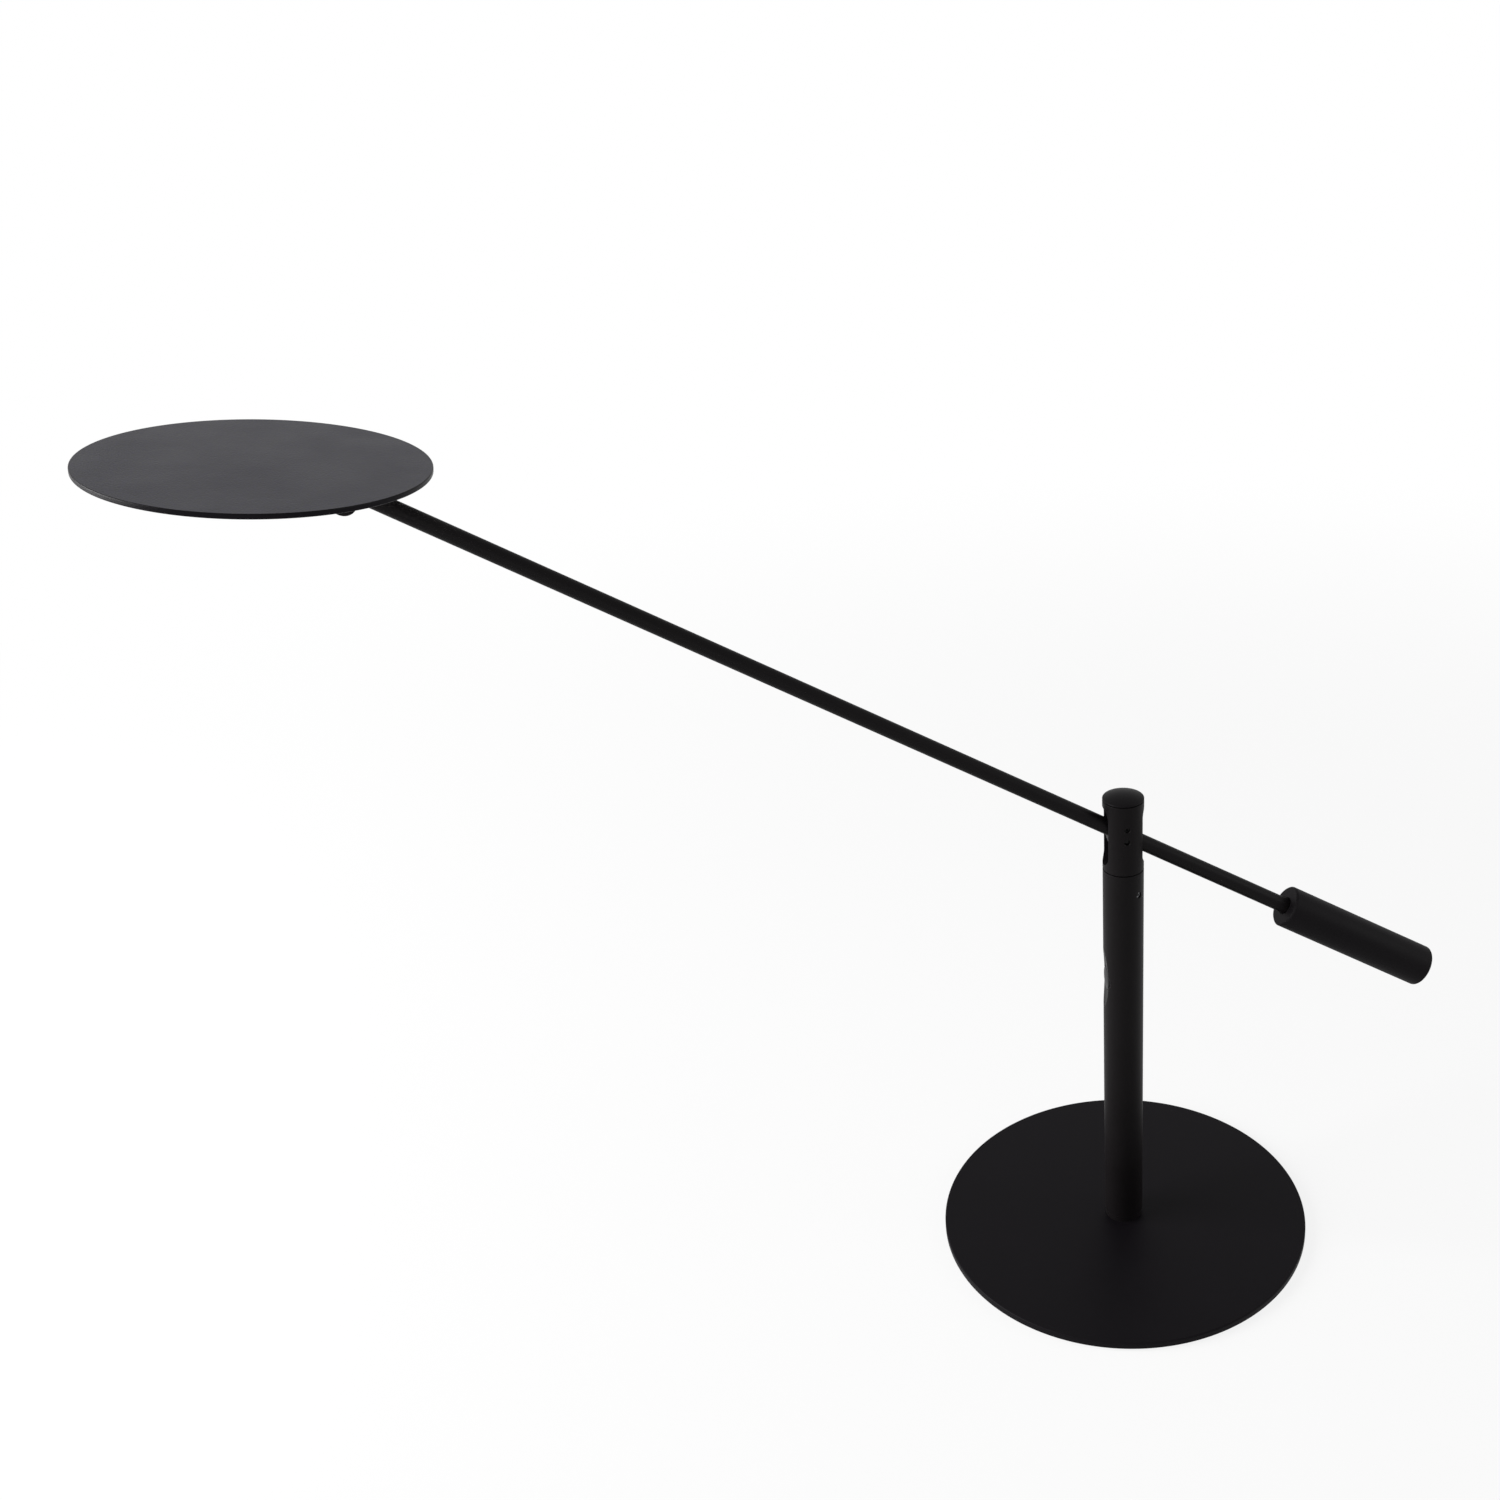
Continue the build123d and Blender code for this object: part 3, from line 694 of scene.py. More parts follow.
class Bench:
    """Models pieces with Blender's own tools, one at a time."""

    OFF_CORNER: ClassVar[float] = radians(1.3)  # turns every rod, so that its corners meet no seam
    SMOOTH_ANGLE: ClassVar[float] = radians(32.0)  # edges that turn more stay sharp
    PRISM_EDGE_STEPS: ClassVar[int] = 4
    SINK_STEPS: ClassVar[int] = 50  # unlike any hole's, so that their edges don't coincide

    @staticmethod
    def arc_steps(rounding: float) -> int:
        """How many steps round a corner off: a few for a small one, at most 24."""
        steps = rounding / 0.12 if rounding < 1 else rounding * 4
        return max(3, min(24, ceil(steps)))

    @staticmethod
    def deselect() -> None:
        """Leaves object mode with nothing selected."""
        if bpy.context.object and bpy.context.object.mode != "OBJECT":
            bpy.ops.object.mode_set(mode="OBJECT")
        bpy.ops.object.select_all(action="DESELECT")

    @staticmethod
    def pick(kind: str, keep: Callable[[object], bool]) -> None:
        """Selects, in edit mode, what a test keeps.

        Args:
            kind: "VERT" or "EDGE".
            keep: The test of one vertex or edge.
        """
        bpy.ops.mesh.select_mode(type=kind)
        bpy.ops.mesh.select_all(action="DESELECT")
        mesh = bmesh.from_edit_mesh(bpy.context.object.data)
        for element in mesh.verts if kind == "VERT" else mesh.edges:
            if keep(element):
                element.select_set(True)
        mesh.select_flush_mode()
        bmesh.update_edit_mesh(bpy.context.object.data)

    def drawn(self, name: str, points: list[Vector], roundings: list[float], closed: bool) -> Piece:
        """Draws a line point by point, joins its ends and rounds its corners, and stays in edit mode.

        Args:
            name: The piece's name.
            points: The line's points, in metres.
            roundings: How far the corner at each point is rounded, in millimetres.
            closed: Whether the last point is joined to the first.

        Returns:
            The piece.
        """
        self.deselect()
        bpy.ops.mesh.primitive_plane_add(size=MM)
        piece = bpy.context.object
        piece.name = piece.data.name = name
        bpy.ops.object.mode_set(mode="EDIT")
        bpy.ops.mesh.select_mode(type="VERT")
        bpy.ops.mesh.select_all(action="SELECT")
        bpy.ops.mesh.merge(type="CENTER")
        bpy.ops.transform.translate(value=points[0])
        for before, after in zip(points, points[1:]):
            bpy.ops.mesh.extrude_region_move(TRANSFORM_OT_translate={"value": after - before})
        if closed:
            ends = (points[0], points[-1])
            self.pick("VERT", lambda v: any((v.co - end).length < SAME_POINT for end in ends))
            bpy.ops.mesh.edge_face_add()
        for point, rounding in zip(points, roundings):
            if rounding > 0:
                self.pick("VERT", lambda v: (v.co - point).length < SAME_POINT)
                steps = self.arc_steps(rounding)
                bpy.ops.mesh.bevel(
                    offset=rounding * MM, segments=steps, affect="VERTICES", clamp_overlap=False
                )
        return piece

    def turned(
        self,
        name: str,
        corners: list[Corner],
        steps: int = 96,
        where: Frame = WORLD,
        axis: Point = UP,
        start: Point = ORIGIN,
    ) -> Piece:
        """Draws an outline corner by corner, rounds it and spins it about an axis.

        Args:
            name: The piece's name.
            corners: The outline. One that neither starts nor ends on the axis is closed into a ring.
            steps: How many steps the full turn has.
            where: The frame that it is made in.
            axis: The direction of the axis in that frame.
            start: Where the axis has its height of 0, in that frame.

        Returns:
            The piece.
        """
        points = [Vector((c.radius, 0.0, c.height)) * MM for c in corners]
        closed = corners[0].radius > 0 and corners[-1].radius > 0
        piece = self.drawn(name, points, [c.rounding for c in corners], closed)
        bpy.ops.mesh.select_all(action="SELECT")
        bpy.ops.mesh.spin(steps=steps, angle=2 * pi, center=ORIGIN, axis=UP)
        bpy.ops.mesh.select_all(action="SELECT")
        bpy.ops.mesh.remove_doubles(threshold=MERGE_REACH)
        bpy.ops.mesh.normals_make_consistent(inside=False)
        bpy.ops.object.mode_set(mode="OBJECT")
        turn = Vector(UP).rotation_difference(Vector(axis)).to_matrix().to_4x4()
        self.settle(piece, where.matrix() @ Matrix.Translation(Vector(start) * MM) @ turn)
        return piece

    def pair(
        self, name: str, corners: list[Corner], steps: int, where: Frame = WORLD, start: Point = ORIGIN
    ) -> Piece:
        """Turns the same outline about -Y and about Y, and joins the two.

        Args:
            name: The piece's name.
            corners: The outline.
            steps: How many steps the full turn has.
            where: The frame that both are made in.
            start: The middle between them, in that frame.

        Returns:
            The piece.
        """
        axes = [(0.0, side, 0.0) for side in (-1.0, 1.0)]
        return self.gather([self.turned(name, corners, steps, where, axis, start) for axis in axes])

    def bore(
        self, piece: Piece, start: Point, end: Point, radius: float, sides: int = 64, where: Frame = WORLD
    ) -> None:
        """Cuts a straight hole.

        Args:
            piece: The piece that is cut.
            start: One end of the hole, in the frame.
            end: Its other end.
            radius: Its radius over the corners.
            sides: How many sides it has.
            where: The frame of both ends.
        """
        self.work(piece, self.peg("hole", start, end, radius, sides, where), Joining.CUT)

    def countersink(self, piece: Piece, mouth: Point, outward: Point, hole: float, depth: float) -> None:
        """Widens the mouth of a round hole into a cone.

        Args:
            piece: The piece with the hole.
            mouth: The middle of the hole's mouth.
            outward: The direction out of the hole.
            hole: The hole's radius.
            depth: The depth of the cone.
        """
        outline = [Corner(0, -depth - hole), Corner(hole + 2 * depth, depth), Corner(0, depth)]
        cone = self.turned("sink", outline, self.SINK_STEPS, axis=outward, start=mouth)
        self.work(piece, cone, Joining.CUT)

    def prism(
        self,
        name: str,
        corners: list[tuple[float, float, float]],
        depth: float,
        edge: float,
        where: Frame = WORLD,
        start: float = 0.0,
    ) -> Piece:
        """Draws an outline in the XZ plane, rounds its corners, fills it and pulls it out along Y.

        Args:
            name: The piece's name.
            corners: The outline: X, Z and rounding of each corner.
            depth: How far it is pulled out.
            edge: How far the edges of its two flat faces are rounded.
            where: The frame that it is made in.
            start: Where its first flat face lies along Y.

        Returns:
            The piece.
        """
        points = [Vector((x, start, z)) * MM for x, z, _ in corners]
        piece = self.drawn(name, points, [rounding for _, _, rounding in corners], closed=True)
        bpy.ops.mesh.select_all(action="SELECT")
        bpy.ops.mesh.edge_face_add()
        bpy.ops.mesh.extrude_region_move(TRANSFORM_OT_translate={"value": (0, depth * MM, 0)})
        bpy.ops.mesh.select_all(action="SELECT")
        bpy.ops.mesh.normals_make_consistent(inside=False)
        self.pick("EDGE", lambda e: abs(e.verts[0].co.y - e.verts[1].co.y) < SAME_POINT)
        bpy.ops.mesh.bevel(offset=edge * MM, segments=self.PRISM_EDGE_STEPS, clamp_overlap=False)
        bpy.ops.object.mode_set(mode="OBJECT")
        self.settle(piece, where.matrix())
        return piece

    def peg(
        self, name: str, start: Point, end: Point, radius: float, sides: int = 64, where: Frame = WORLD
    ) -> Piece:
        """A plain rod, for cutting or fusing.

        Args:
            name: Its name.
            start: One end, in the frame.
            end: The other end.
            radius: Its radius over the corners.
            sides: How many sides it has.
            where: The frame that it is made in.

        Returns:
            The rod.
        """
        first, last = Vector(start), Vector(end)
        self.deselect()
        bpy.ops.mesh.primitive_cylinder_add(
            vertices=sides, radius=radius * MM, depth=(last - first).length * MM, end_fill_type="NGON"
        )
        piece = bpy.context.object
        piece.name = piece.data.name = name
        turn = Vector(UP).rotation_difference(last - first).to_matrix().to_4x4()
        turn = turn @ Matrix.Rotation(self.OFF_CORNER, 4, "Z")
        self.settle(piece, where.matrix() @ Matrix.Translation((first + last) / 2 * MM) @ turn)
        return piece

    @staticmethod
    def settle(piece: Piece, place: Matrix) -> None:
        """Moves a piece and writes its place into its mesh.

        Args:
            piece: The piece, at the origin.
            place: Where it goes.
        """
        piece.matrix_world = place
        bpy.ops.object.select_all(action="DESELECT")
        piece.select_set(True)
        bpy.context.view_layer.objects.active = piece
        bpy.ops.object.transform_apply(location=True, rotation=True, scale=True)

    def work(self, piece: Piece, tool: Piece, how: Joining) -> None:
        """Works a tool into a piece and puts the tool away.

        Args:
            piece: The piece that is changed.
            tool: The other solid, which is used up.
            how: What the tool does to the piece.
        """
        self.modify(piece, "BOOLEAN", operation=how.value, object=tool, solver="EXACT")
        bpy.data.objects.remove(tool)

    def gather(self, pieces: list[Piece]) -> Piece:
        """Joins pieces that don't touch into the first of them.

        Args:
            pieces: The pieces.

        Returns:
            The first piece.
        """
        self.deselect()
        for piece in pieces:
            piece.select_set(True)
        bpy.context.view_layer.objects.active = pieces[0]
        bpy.ops.object.join()
        return pieces[0]

    def modify(self, piece: Piece, kind: str, **settings: object) -> None:
        """Adds one modifier and applies it.

        Args:
            piece: The piece.
            kind: The modifier's type.
            **settings: Its settings.
        """
        self.deselect()
        piece.select_set(True)
        bpy.context.view_layer.objects.active = piece
        bpy.ops.object.modifier_add(type=kind)
        modifier = piece.modifiers[-1]
        for name, value in settings.items():
            setattr(modifier, name, value)
        bpy.ops.object.modifier_apply(modifier=modifier.name)

    def smooth(self, piece: Piece) -> None:
        """Shades a piece smooth except over its sharp edges, with its flat faces kept flat.

        Args:
            piece: The piece.
        """
        self.deselect()
        piece.select_set(True)
        bpy.context.view_layer.objects.active = piece
        bpy.ops.object.shade_smooth_by_angle(angle=self.SMOOTH_ANGLE)
        self.modify(piece, "WEIGHTED_NORMAL", keep_sharp=True, weight=100)


BENCH = Bench()


def fit(piece: Piece, body: Body, slot: str, finish: Finish, *nodes: str) -> None:
    """Finishes a piece: shades it, dresses it and hands it to the frame.

    Args:
        piece: The modelled piece.
        body: The body that it rides on.
        slot: The record's material slot that it belongs to. Not used.
        finish: Its finish.
        *nodes: The CAD nodes that it stands for.
    """
    BENCH.smooth(piece)
    piece.data.materials.clear()
    piece.data.materials.append(dressed(finish))
    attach(piece, body.value)
    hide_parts(*nodes)
    faces = len(piece.data.polygons)
    log.info("%s: %d faces, on %s, for %s", piece.name, faces, body.value, ", ".join(nodes))


def carry_over(finish: Finish, name: str) -> None:
    """Dresses a CAD node whose shape is right.

    Args:
        finish: Its finish.
        name: The node.
    """
    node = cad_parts[name]
    if not node.material_slots:
        node.data.materials.append(None)
    for slot in node.material_slots:
        slot.material = dressed(finish)
    log.info("%s: carried over in %s", name, finish.name)


# ---------------------------------------------------------------- the lamp

# Sizes that several assemblies share.
FIT_GAP = 0.05  # round a screw, pin or plug in its hole
FREE_GAP = 0.1  # round what drops in or turns
OVERRUN = 1.0  # how far a tool runs past the face that it opens
RIM_EDGE = 0.15  # rounding of a small turned rim
WASHER_EDGE = 0.12  # rounding of a washer's rim
SOCKET_SHARE = 0.6  # radius of a screw's six-sided socket, as a share of the screw's or its head's
HEXAGON = 6
SMALL_GRUB = 1.25  # radius of the knuckle's pin and grub screws
BIG_GRUB = 1.5  # radius of the stem's and the counterweight's grub screws
PLATE_TOP = 5.0  # height of the base's top
BOLT_HOLE = 4.1  # radius of the hole for the bolt that holds the stem
STEM_RADIUS = 10.4
DIMMER_HEIGHT = 160.5
PIVOT_HEIGHT = 244.6
ARM_RISE = 31.08
ARM_RADIUS = 4.0
EYE_RADIUS = 5.8
EYE_REACH = 393.0  # from the pivot to the hinge's axis, along the arm
EYE_DROP = 1.8  # from the arm's axis down to the hinge's
LIGHT_TILT = 8.27
LIGHT_REACH = 37.1  # from the hinge's axis to the light's middle
LIGHT_RISE = 11.09  # from the hinge's axis up to the light's top
EAR_SCREW_PLACES = [(x, y) for x in (-9.0, 9.0) for y in (-9.6, 9.6)]

ARM_FRAME = Frame((0.0, 0.0, PIVOT_HEIGHT), ARM_RISE)
HINGE_FRAME = Frame(ARM_FRAME.point((-EYE_REACH, 0.0, -EYE_DROP)), LIGHT_TILT)
LIGHT_FRAME = Frame(HINGE_FRAME.point((-LIGHT_REACH, 0.0, LIGHT_RISE)), LIGHT_TILT)


@dataclass(frozen=True)
class Base:
    """The round weighted base on its rubber pad."""

    radius: float = 100.0
    bottom: float = 1.0  # height of the plate's underside
    edge_round: float = 0.8
    bolt_recess: float = 7.3  # radius of the recess for the bolt's head
    recess_top: float = 3.4  # height of the recess's ceiling
    pad_radius: float = 97.0
    pad_top_edge: float = 0.1
    pad_edge: float = 0.3

    def build(self) -> None:
        """Makes the plate and its pad."""
        plate = BENCH.turned(
            "weighted_plate",
            [
                Corner(BOLT_HOLE, PLATE_TOP),
                Corner(self.radius, PLATE_TOP, self.edge_round),
                Corner(self.radius, self.bottom, self.edge_round),
                Corner(self.bolt_recess, self.bottom),
                Corner(self.bolt_recess, self.recess_top),
                Corner(BOLT_HOLE, self.recess_top),
            ],
            steps=256,
        )
        fit(plate, Body.BASE, "base_black", BASE_COAT, "base_plate")
        pad = BENCH.turned(
            "under_pad",
            [
                Corner(0.0, self.bottom),
                Corner(self.pad_radius, self.bottom, self.pad_top_edge),
                Corner(self.pad_radius, 0.0, self.pad_edge),
                Corner(0.0, 0.0),
            ],
            steps=192,
        )
        fit(pad, Body.BASE, "pad_rubber", PAD_RUBBER, "base_pad")
        carry_over(PLUG_STEEL, "base_bolt")


@dataclass(frozen=True)
class GrubScrew:
    """A headless screw with a six-sided socket."""

    radius: float
    chamfer: float = 0.15  # round both ends
    socket_depth: float = 1.0

    def build(self, name: str, mouth: Point, tip: Point, where: Frame = WORLD) -> Piece:
        """Makes the screw.

        Args:
            name: The piece's name.
            mouth: The middle of the end with the socket.
            tip: The middle of the other end.
            where: The frame of both points.

        Returns:
            The screw.
        """
        length = (Vector(tip) - Vector(mouth)).length
        inward = (Vector(tip) - Vector(mouth)).normalized()
        screw = BENCH.turned(
            name,
            [
                Corner(0.0, 0.0),
                Corner(self.radius - self.chamfer, 0.0),
                Corner(self.radius, self.chamfer),
                Corner(self.radius, length - self.chamfer),
                Corner(self.radius - self.chamfer, length),
                Corner(0.0, length),
            ],
            steps=48,
            where=where,
            axis=tuple(inward),
            start=mouth,
        )
        floor = tuple(Vector(mouth) + inward * self.socket_depth)
        above = tuple(Vector(mouth) - inward * OVERRUN)
        BENCH.bore(screw, floor, above, self.radius * SOCKET_SHARE, HEXAGON, where)
        return screw


@dataclass(frozen=True)
class Stem:
    """The tubular stem with its foot ring, the scoop of its dimmer and its cable inlet."""

    radius: float = STEM_RADIUS
    bore: float = 8.0  # inner radius of the tube
    foot: float = 8.4  # height of the tube's lower end
    top: float = 225.2  # height of its upper end
    edge: float = 0.3
    ring_step: float = 0.4  # how far the foot ring stands back
    scoop_radius: float = 100.0  # of the ball that the scoop is cut with
    scoop_depth: float = 1.6
    scoop_reach: float = 24.0  # radius of the part of the ball that is made
    scoop_back: float = 4.0  # thickness of that part behind its rim
    scoop_steps: int = 80
    button_hole: float = 6.35
    inlet_height: float = 38.4
    inlet_hole: float = 3.0
    inlet_cable: float = 2.0  # radius of the grommet's own hole
    inlet_flange: float = 4.2
    inlet_inner: float = 7.0  # where the grommet ends inside the stem, from its axis
    inlet_outer: float = 11.6  # where it ends outside
    inlet_mouth_round: float = 0.3
    inlet_round: float = 0.6
    stop_height: float = 212.8
    stop_bearing: float = -50.0  # in degrees round the stem
    stop_sunk: float = 0.9  # how far the screw's mouth is sunk
    stop_sink: float = 0.35  # depth of the countersink round its hole
    stop_tip: float = 1.0  # radius of the screw's thin tip
    stop_tip_end: float = 5.89  # where the tip ends, from the stem's axis
    stop_tip_root: float = 0.5  # how far it reaches into the screw

    def build(self) -> None:
        """Makes the tube, the ring under it and what is set in its wall."""
        ring = BENCH.turned(
            "foot_collar",
            sleeve(BOLT_HOLE, self.radius - self.ring_step, self.foot, PLATE_TOP, RIM_EDGE),
            steps=128,
        )
        fit(ring, Body.BASE, "base_black", STEM_COAT, "foot_ring")
        fit(self.tube(), Body.BASE, "stem_black", STEM_COAT, "stem_tube")
        fit(self.stop_screw(), Body.BASE, "steel_screw", BRIGHT_STEEL, "stop_screw")
        fit(self.inlet(), Body.BASE, "inlet_rubber", INLET_RUBBER, "cable_inlet")
        carry_over(PLUG_STEEL, "foot_plug")
        carry_over(LEAD_SLEEVE, "stem_lead")
        carry_over(BOARD_GREEN, "driver_board")
        # The bush is dressed near black as painted shadow in the seam.
        carry_over(BUSH_SEAM_SHADE, "swivel_bush")

    def tube(self) -> Piece:
        """Makes the tube with its scoop and its holes.

        Returns:
            The piece.
        """
        outline = sleeve(self.bore, self.radius, self.foot, self.top, self.edge)
        tube = BENCH.turned("stem_shell", outline, steps=160)
        BENCH.work(tube, self.scoop(), Joining.CUT)
        reach = self.radius + OVERRUN
        stop_hole = BIG_GRUB + FIT_GAP
        BENCH.bore(tube, (0, 0, DIMMER_HEIGHT), (-reach, 0, DIMMER_HEIGHT), self.button_hole)
        BENCH.bore(tube, (0, 0, self.inlet_height), (0, reach, self.inlet_height), self.inlet_hole)
        BENCH.bore(tube, self.stop_point(0), self.stop_point(reach), stop_hole)
        outward = (*self.stop_point(1)[:2], 0.0)
        BENCH.countersink(tube, self.stop_point(self.radius), outward, stop_hole, self.stop_sink)
        return tube

    def scoop(self) -> Piece:
        """Makes the cap of a large ball that scoops the stem for the dimmer.

        Returns:
            The tool.
        """
        arc = []
        for step in range(self.scoop_steps + 1):
            across = self.scoop_reach * step / self.scoop_steps
            arc.append(Corner(across, (self.scoop_radius**2 - across**2) ** 0.5 - self.scoop_radius))
        back = arc[-1].height - self.scoop_back
        return BENCH.turned(
            "scoop",
            [*arc, Corner(self.scoop_reach, back), Corner(0.0, back)],
            steps=158,
            start=(self.scoop_depth - self.radius, 0, DIMMER_HEIGHT),
            axis=ALONG_X,
        )

    def stop_point(self, distance: float) -> Point:
        """A point on the stop screw's axis.

        Args:
            distance: Its distance from the stem's axis.

        Returns:
            The point.
        """
        bearing = radians(self.stop_bearing)
        return (distance * cos(bearing), distance * sin(bearing), self.stop_height)

    def stop_screw(self) -> Piece:
        """Makes the screw that stops the swivel, with its thin tip.

        Returns:
            The piece.
        """
        mouth = self.stop_point(self.radius - self.stop_sunk)
        screw = GrubScrew(BIG_GRUB).build("swivel_stop", mouth, self.stop_point(self.bore))
        root = self.stop_point(self.bore + self.stop_tip_root)
        tip = BENCH.peg("tip", root, self.stop_point(self.stop_tip_end), self.stop_tip, sides=48)
        BENCH.work(screw, tip, Joining.FUSE)
        return screw

    def inlet(self) -> Piece:
        """Makes the rubber grommet of the cable inlet, with a groove that follows the stem's round wall.

        Returns:
            The piece.
        """
        neck = self.inlet_hole - FIT_GAP
        step = self.bore + FREE_GAP
        grommet = BENCH.turned(
            "inlet_grommet",
            [
                Corner(self.inlet_cable, self.inlet_inner),
                Corner(self.inlet_cable, self.inlet_outer, self.inlet_mouth_round),
                Corner(self.inlet_flange, self.inlet_outer, self.inlet_round),
                Corner(self.inlet_flange, step),
                Corner(neck, step),
                Corner(neck, self.inlet_inner),
            ],
            steps=64,
            axis=ALONG_Y,
            start=(0, 0, self.inlet_height),
        )
        inside, half_height, past = self.bore - 0.4, 8.0, 20.0
        low, high = self.inlet_height - half_height, self.inlet_height + half_height
        wall = BENCH.turned("wall", sleeve(inside, self.radius + FIT_GAP, low, high), steps=128)
        BENCH.bore(wall, (0, 0, self.inlet_height), (0, past, self.inlet_height), neck)
        BENCH.work(grommet, wall, Joining.CUT)
        return grommet


@dataclass(frozen=True)
class Dimmer:
    """The sprung dimmer button in the stem's scoop."""

    radius: float = 6.0
    back: float = -6.2  # where its back lies along X
    depth: float = 3.6
    rise: float = 0.7  # how far its face is domed
    face_round: float = 0.3
    tab_width: float = 3.0
    tab_reach: float = 1.2  # how far the tab that keeps it in stands out past it
    tab_thickness: float = 1.0
    tab_round: float = 0.2
    tab_edge: float = 0.1

    def build(self) -> None:
        """Makes the button."""
        face = dome(self.radius, self.depth - self.rise, self.rise, self.face_round)
        button = BENCH.turned(
            "dimmer_key",
            face + [Corner(self.radius, 0), Corner(0, 0)],
            axis=(-1.0, 0.0, 0.0),
            start=(self.back, 0, DIMMER_HEIGHT),
        )
        front = self.back - self.tab_thickness
        low = DIMMER_HEIGHT - (self.radius + self.tab_reach)
        high = DIMMER_HEIGHT + (self.radius + self.tab_reach)
        places = [(self.back, low), (front, low), (front, high), (self.back, high)]
        outline = [(x, z, self.tab_round) for x, z in places]
        tab = BENCH.prism("tab", outline, self.tab_width, self.tab_edge, start=-self.tab_width / 2)
        BENCH.work(button, tab, Joining.FUSE)
        fit(button, Body.BUTTON, "button_black", BUTTON_PLASTIC, "dimmer_button")
        carry_over(HOUSING_PLASTIC, "dimmer_housing")
        carry_over(BOARD_GREEN, "dimmer_board")


@dataclass(frozen=True)
class Knuckle:
    """The slotted head of the stem, which swivels and carries the arm's pivot."""

    radius: float = STEM_RADIUS
    seam: float = 225.7  # height of its underside
    top: float = 264.0  # height of its top
    edge: float = 0.4
    slot_height: float = 32.4
    slot_width: float = 11.4
    spigot: float = 6.74  # radius of the spigot that turns in the stem
    spigot_bottom: float = 202.5
    spigot_edge: float = 0.3
    groove: tuple[float, float] = (211.5, 214.1)  # heights of the stop screw's groove
    groove_floor: float = 5.59
    bore: float = 3.0  # radius of the bore for the leads
    bore_above: float = 6.0  # how far that bore reaches above the pivot
    seat: float = 7.1  # radius of the cap's seat
    seat_depth: float = 2.0
    gap_height: float = 0.5  # height of the gap under the cap's rim
    gap_depth: float = 0.8
    cap_band: float = 0.6  # height of the cap's straight rim
    cap_rise: float = 2.4  # how far the cap is domed
    cap_round: float = 0.4
    cap_lower_round: float = 0.12
    pin_sunk: float = 1.4  # how far the pin's ends are sunk
    pin_round: float = 0.2
    screw_above: float = 7.0  # how far the tension screw lies above the pivot
    screw_sunk: float = 1.3
    screw_hole_end: float = 2.0  # where its hole ends, from the middle
    sink: float = 0.45  # depth of the countersink round each hole
    washer: float = 8.3
    washer_thickness: float = 0.5

    def build(self) -> None:
        """Makes the barrel, its cap and what holds the arm."""
        fit(self.barrel(), Body.STEM_HEAD, "knuckle_black", HEAD_COAT, "knuckle")
        # The cap takes a darker copy of the knuckle's coat: painted shade.
        fit(self.cap(), Body.STEM_HEAD, "knuckle_black", CAP_SHADED_COAT, "knuckle_cap")
        reach = self.radius - self.pin_sunk
        pin = BENCH.turned(
            "pivot_rod",
            sleeve(0.0, SMALL_GRUB, -reach, reach, self.pin_round),
            steps=48,
            axis=ALONG_Y,
            start=(0, 0, PIVOT_HEIGHT),
        )
        fit(pin, Body.STEM_HEAD, "black_screw", BLACK_STEEL, "pivot_pin")
        height = PIVOT_HEIGHT + self.screw_above
        half_slot = self.slot_width / 2
        mouth = (0, -self.radius + self.screw_sunk, height)
        screw = GrubScrew(SMALL_GRUB).build("tension_grub", mouth, (0, -half_slot, height))
        fit(screw, Body.STEM_HEAD, "black_screw", BLACK_STEEL, "tension_screw")
        outline = sleeve(
            SMALL_GRUB + FREE_GAP, self.washer, half_slot - self.washer_thickness, half_slot, WASHER_EDGE
        )
        washers = BENCH.pair("hub_washers", outline, steps=96, start=(0, 0, PIVOT_HEIGHT))
        fit(washers, Body.STEM_HEAD, "nylon_black", HOUSING_PLASTIC, "pivot_washers")

    def barrel(self) -> Piece:
        """Makes the slotted barrel with the spigot under it.

        Returns:
            The piece.
        """
        inside = PIVOT_HEIGHT + self.bore_above
        groove_low, groove_high = self.groove
        barrel = BENCH.turned(
            "slotted_barrel",
            [
                Corner(0.0, inside),
                Corner(self.bore, inside),
                Corner(self.bore, self.spigot_bottom),
                Corner(self.spigot, self.spigot_bottom, self.spigot_edge),
                Corner(self.spigot, groove_low),
                Corner(self.groove_floor, groove_low),
                Corner(self.groove_floor, groove_high),
                Corner(self.spigot, groove_high),
                Corner(self.spigot, self.seam),
                Corner(self.radius, self.seam, self.edge),
                Corner(self.radius, self.top, self.edge),
                Corner(self.seat, self.top),
                Corner(self.seat, self.top - self.seat_depth),
                Corner(0.0, self.top - self.seat_depth),
            ],
            steps=160,
        )
        BENCH.work(barrel, self.slot_tool(), Joining.CUT)
        reach = self.radius + OVERRUN
        hole = SMALL_GRUB + FIT_GAP
        height = PIVOT_HEIGHT + self.screw_above
        BENCH.bore(barrel, (0, -reach, PIVOT_HEIGHT), (0, reach, PIVOT_HEIGHT), hole, 48)
        BENCH.bore(barrel, (0, -reach, height), (0, -self.screw_hole_end, height), hole, 48)
        for side, mouth in ((-1, PIVOT_HEIGHT), (1, PIVOT_HEIGHT), (-1, height)):
            BENCH.countersink(barrel, (0, side * self.radius, mouth), (0, side, 0), hole, self.sink)
        return barrel

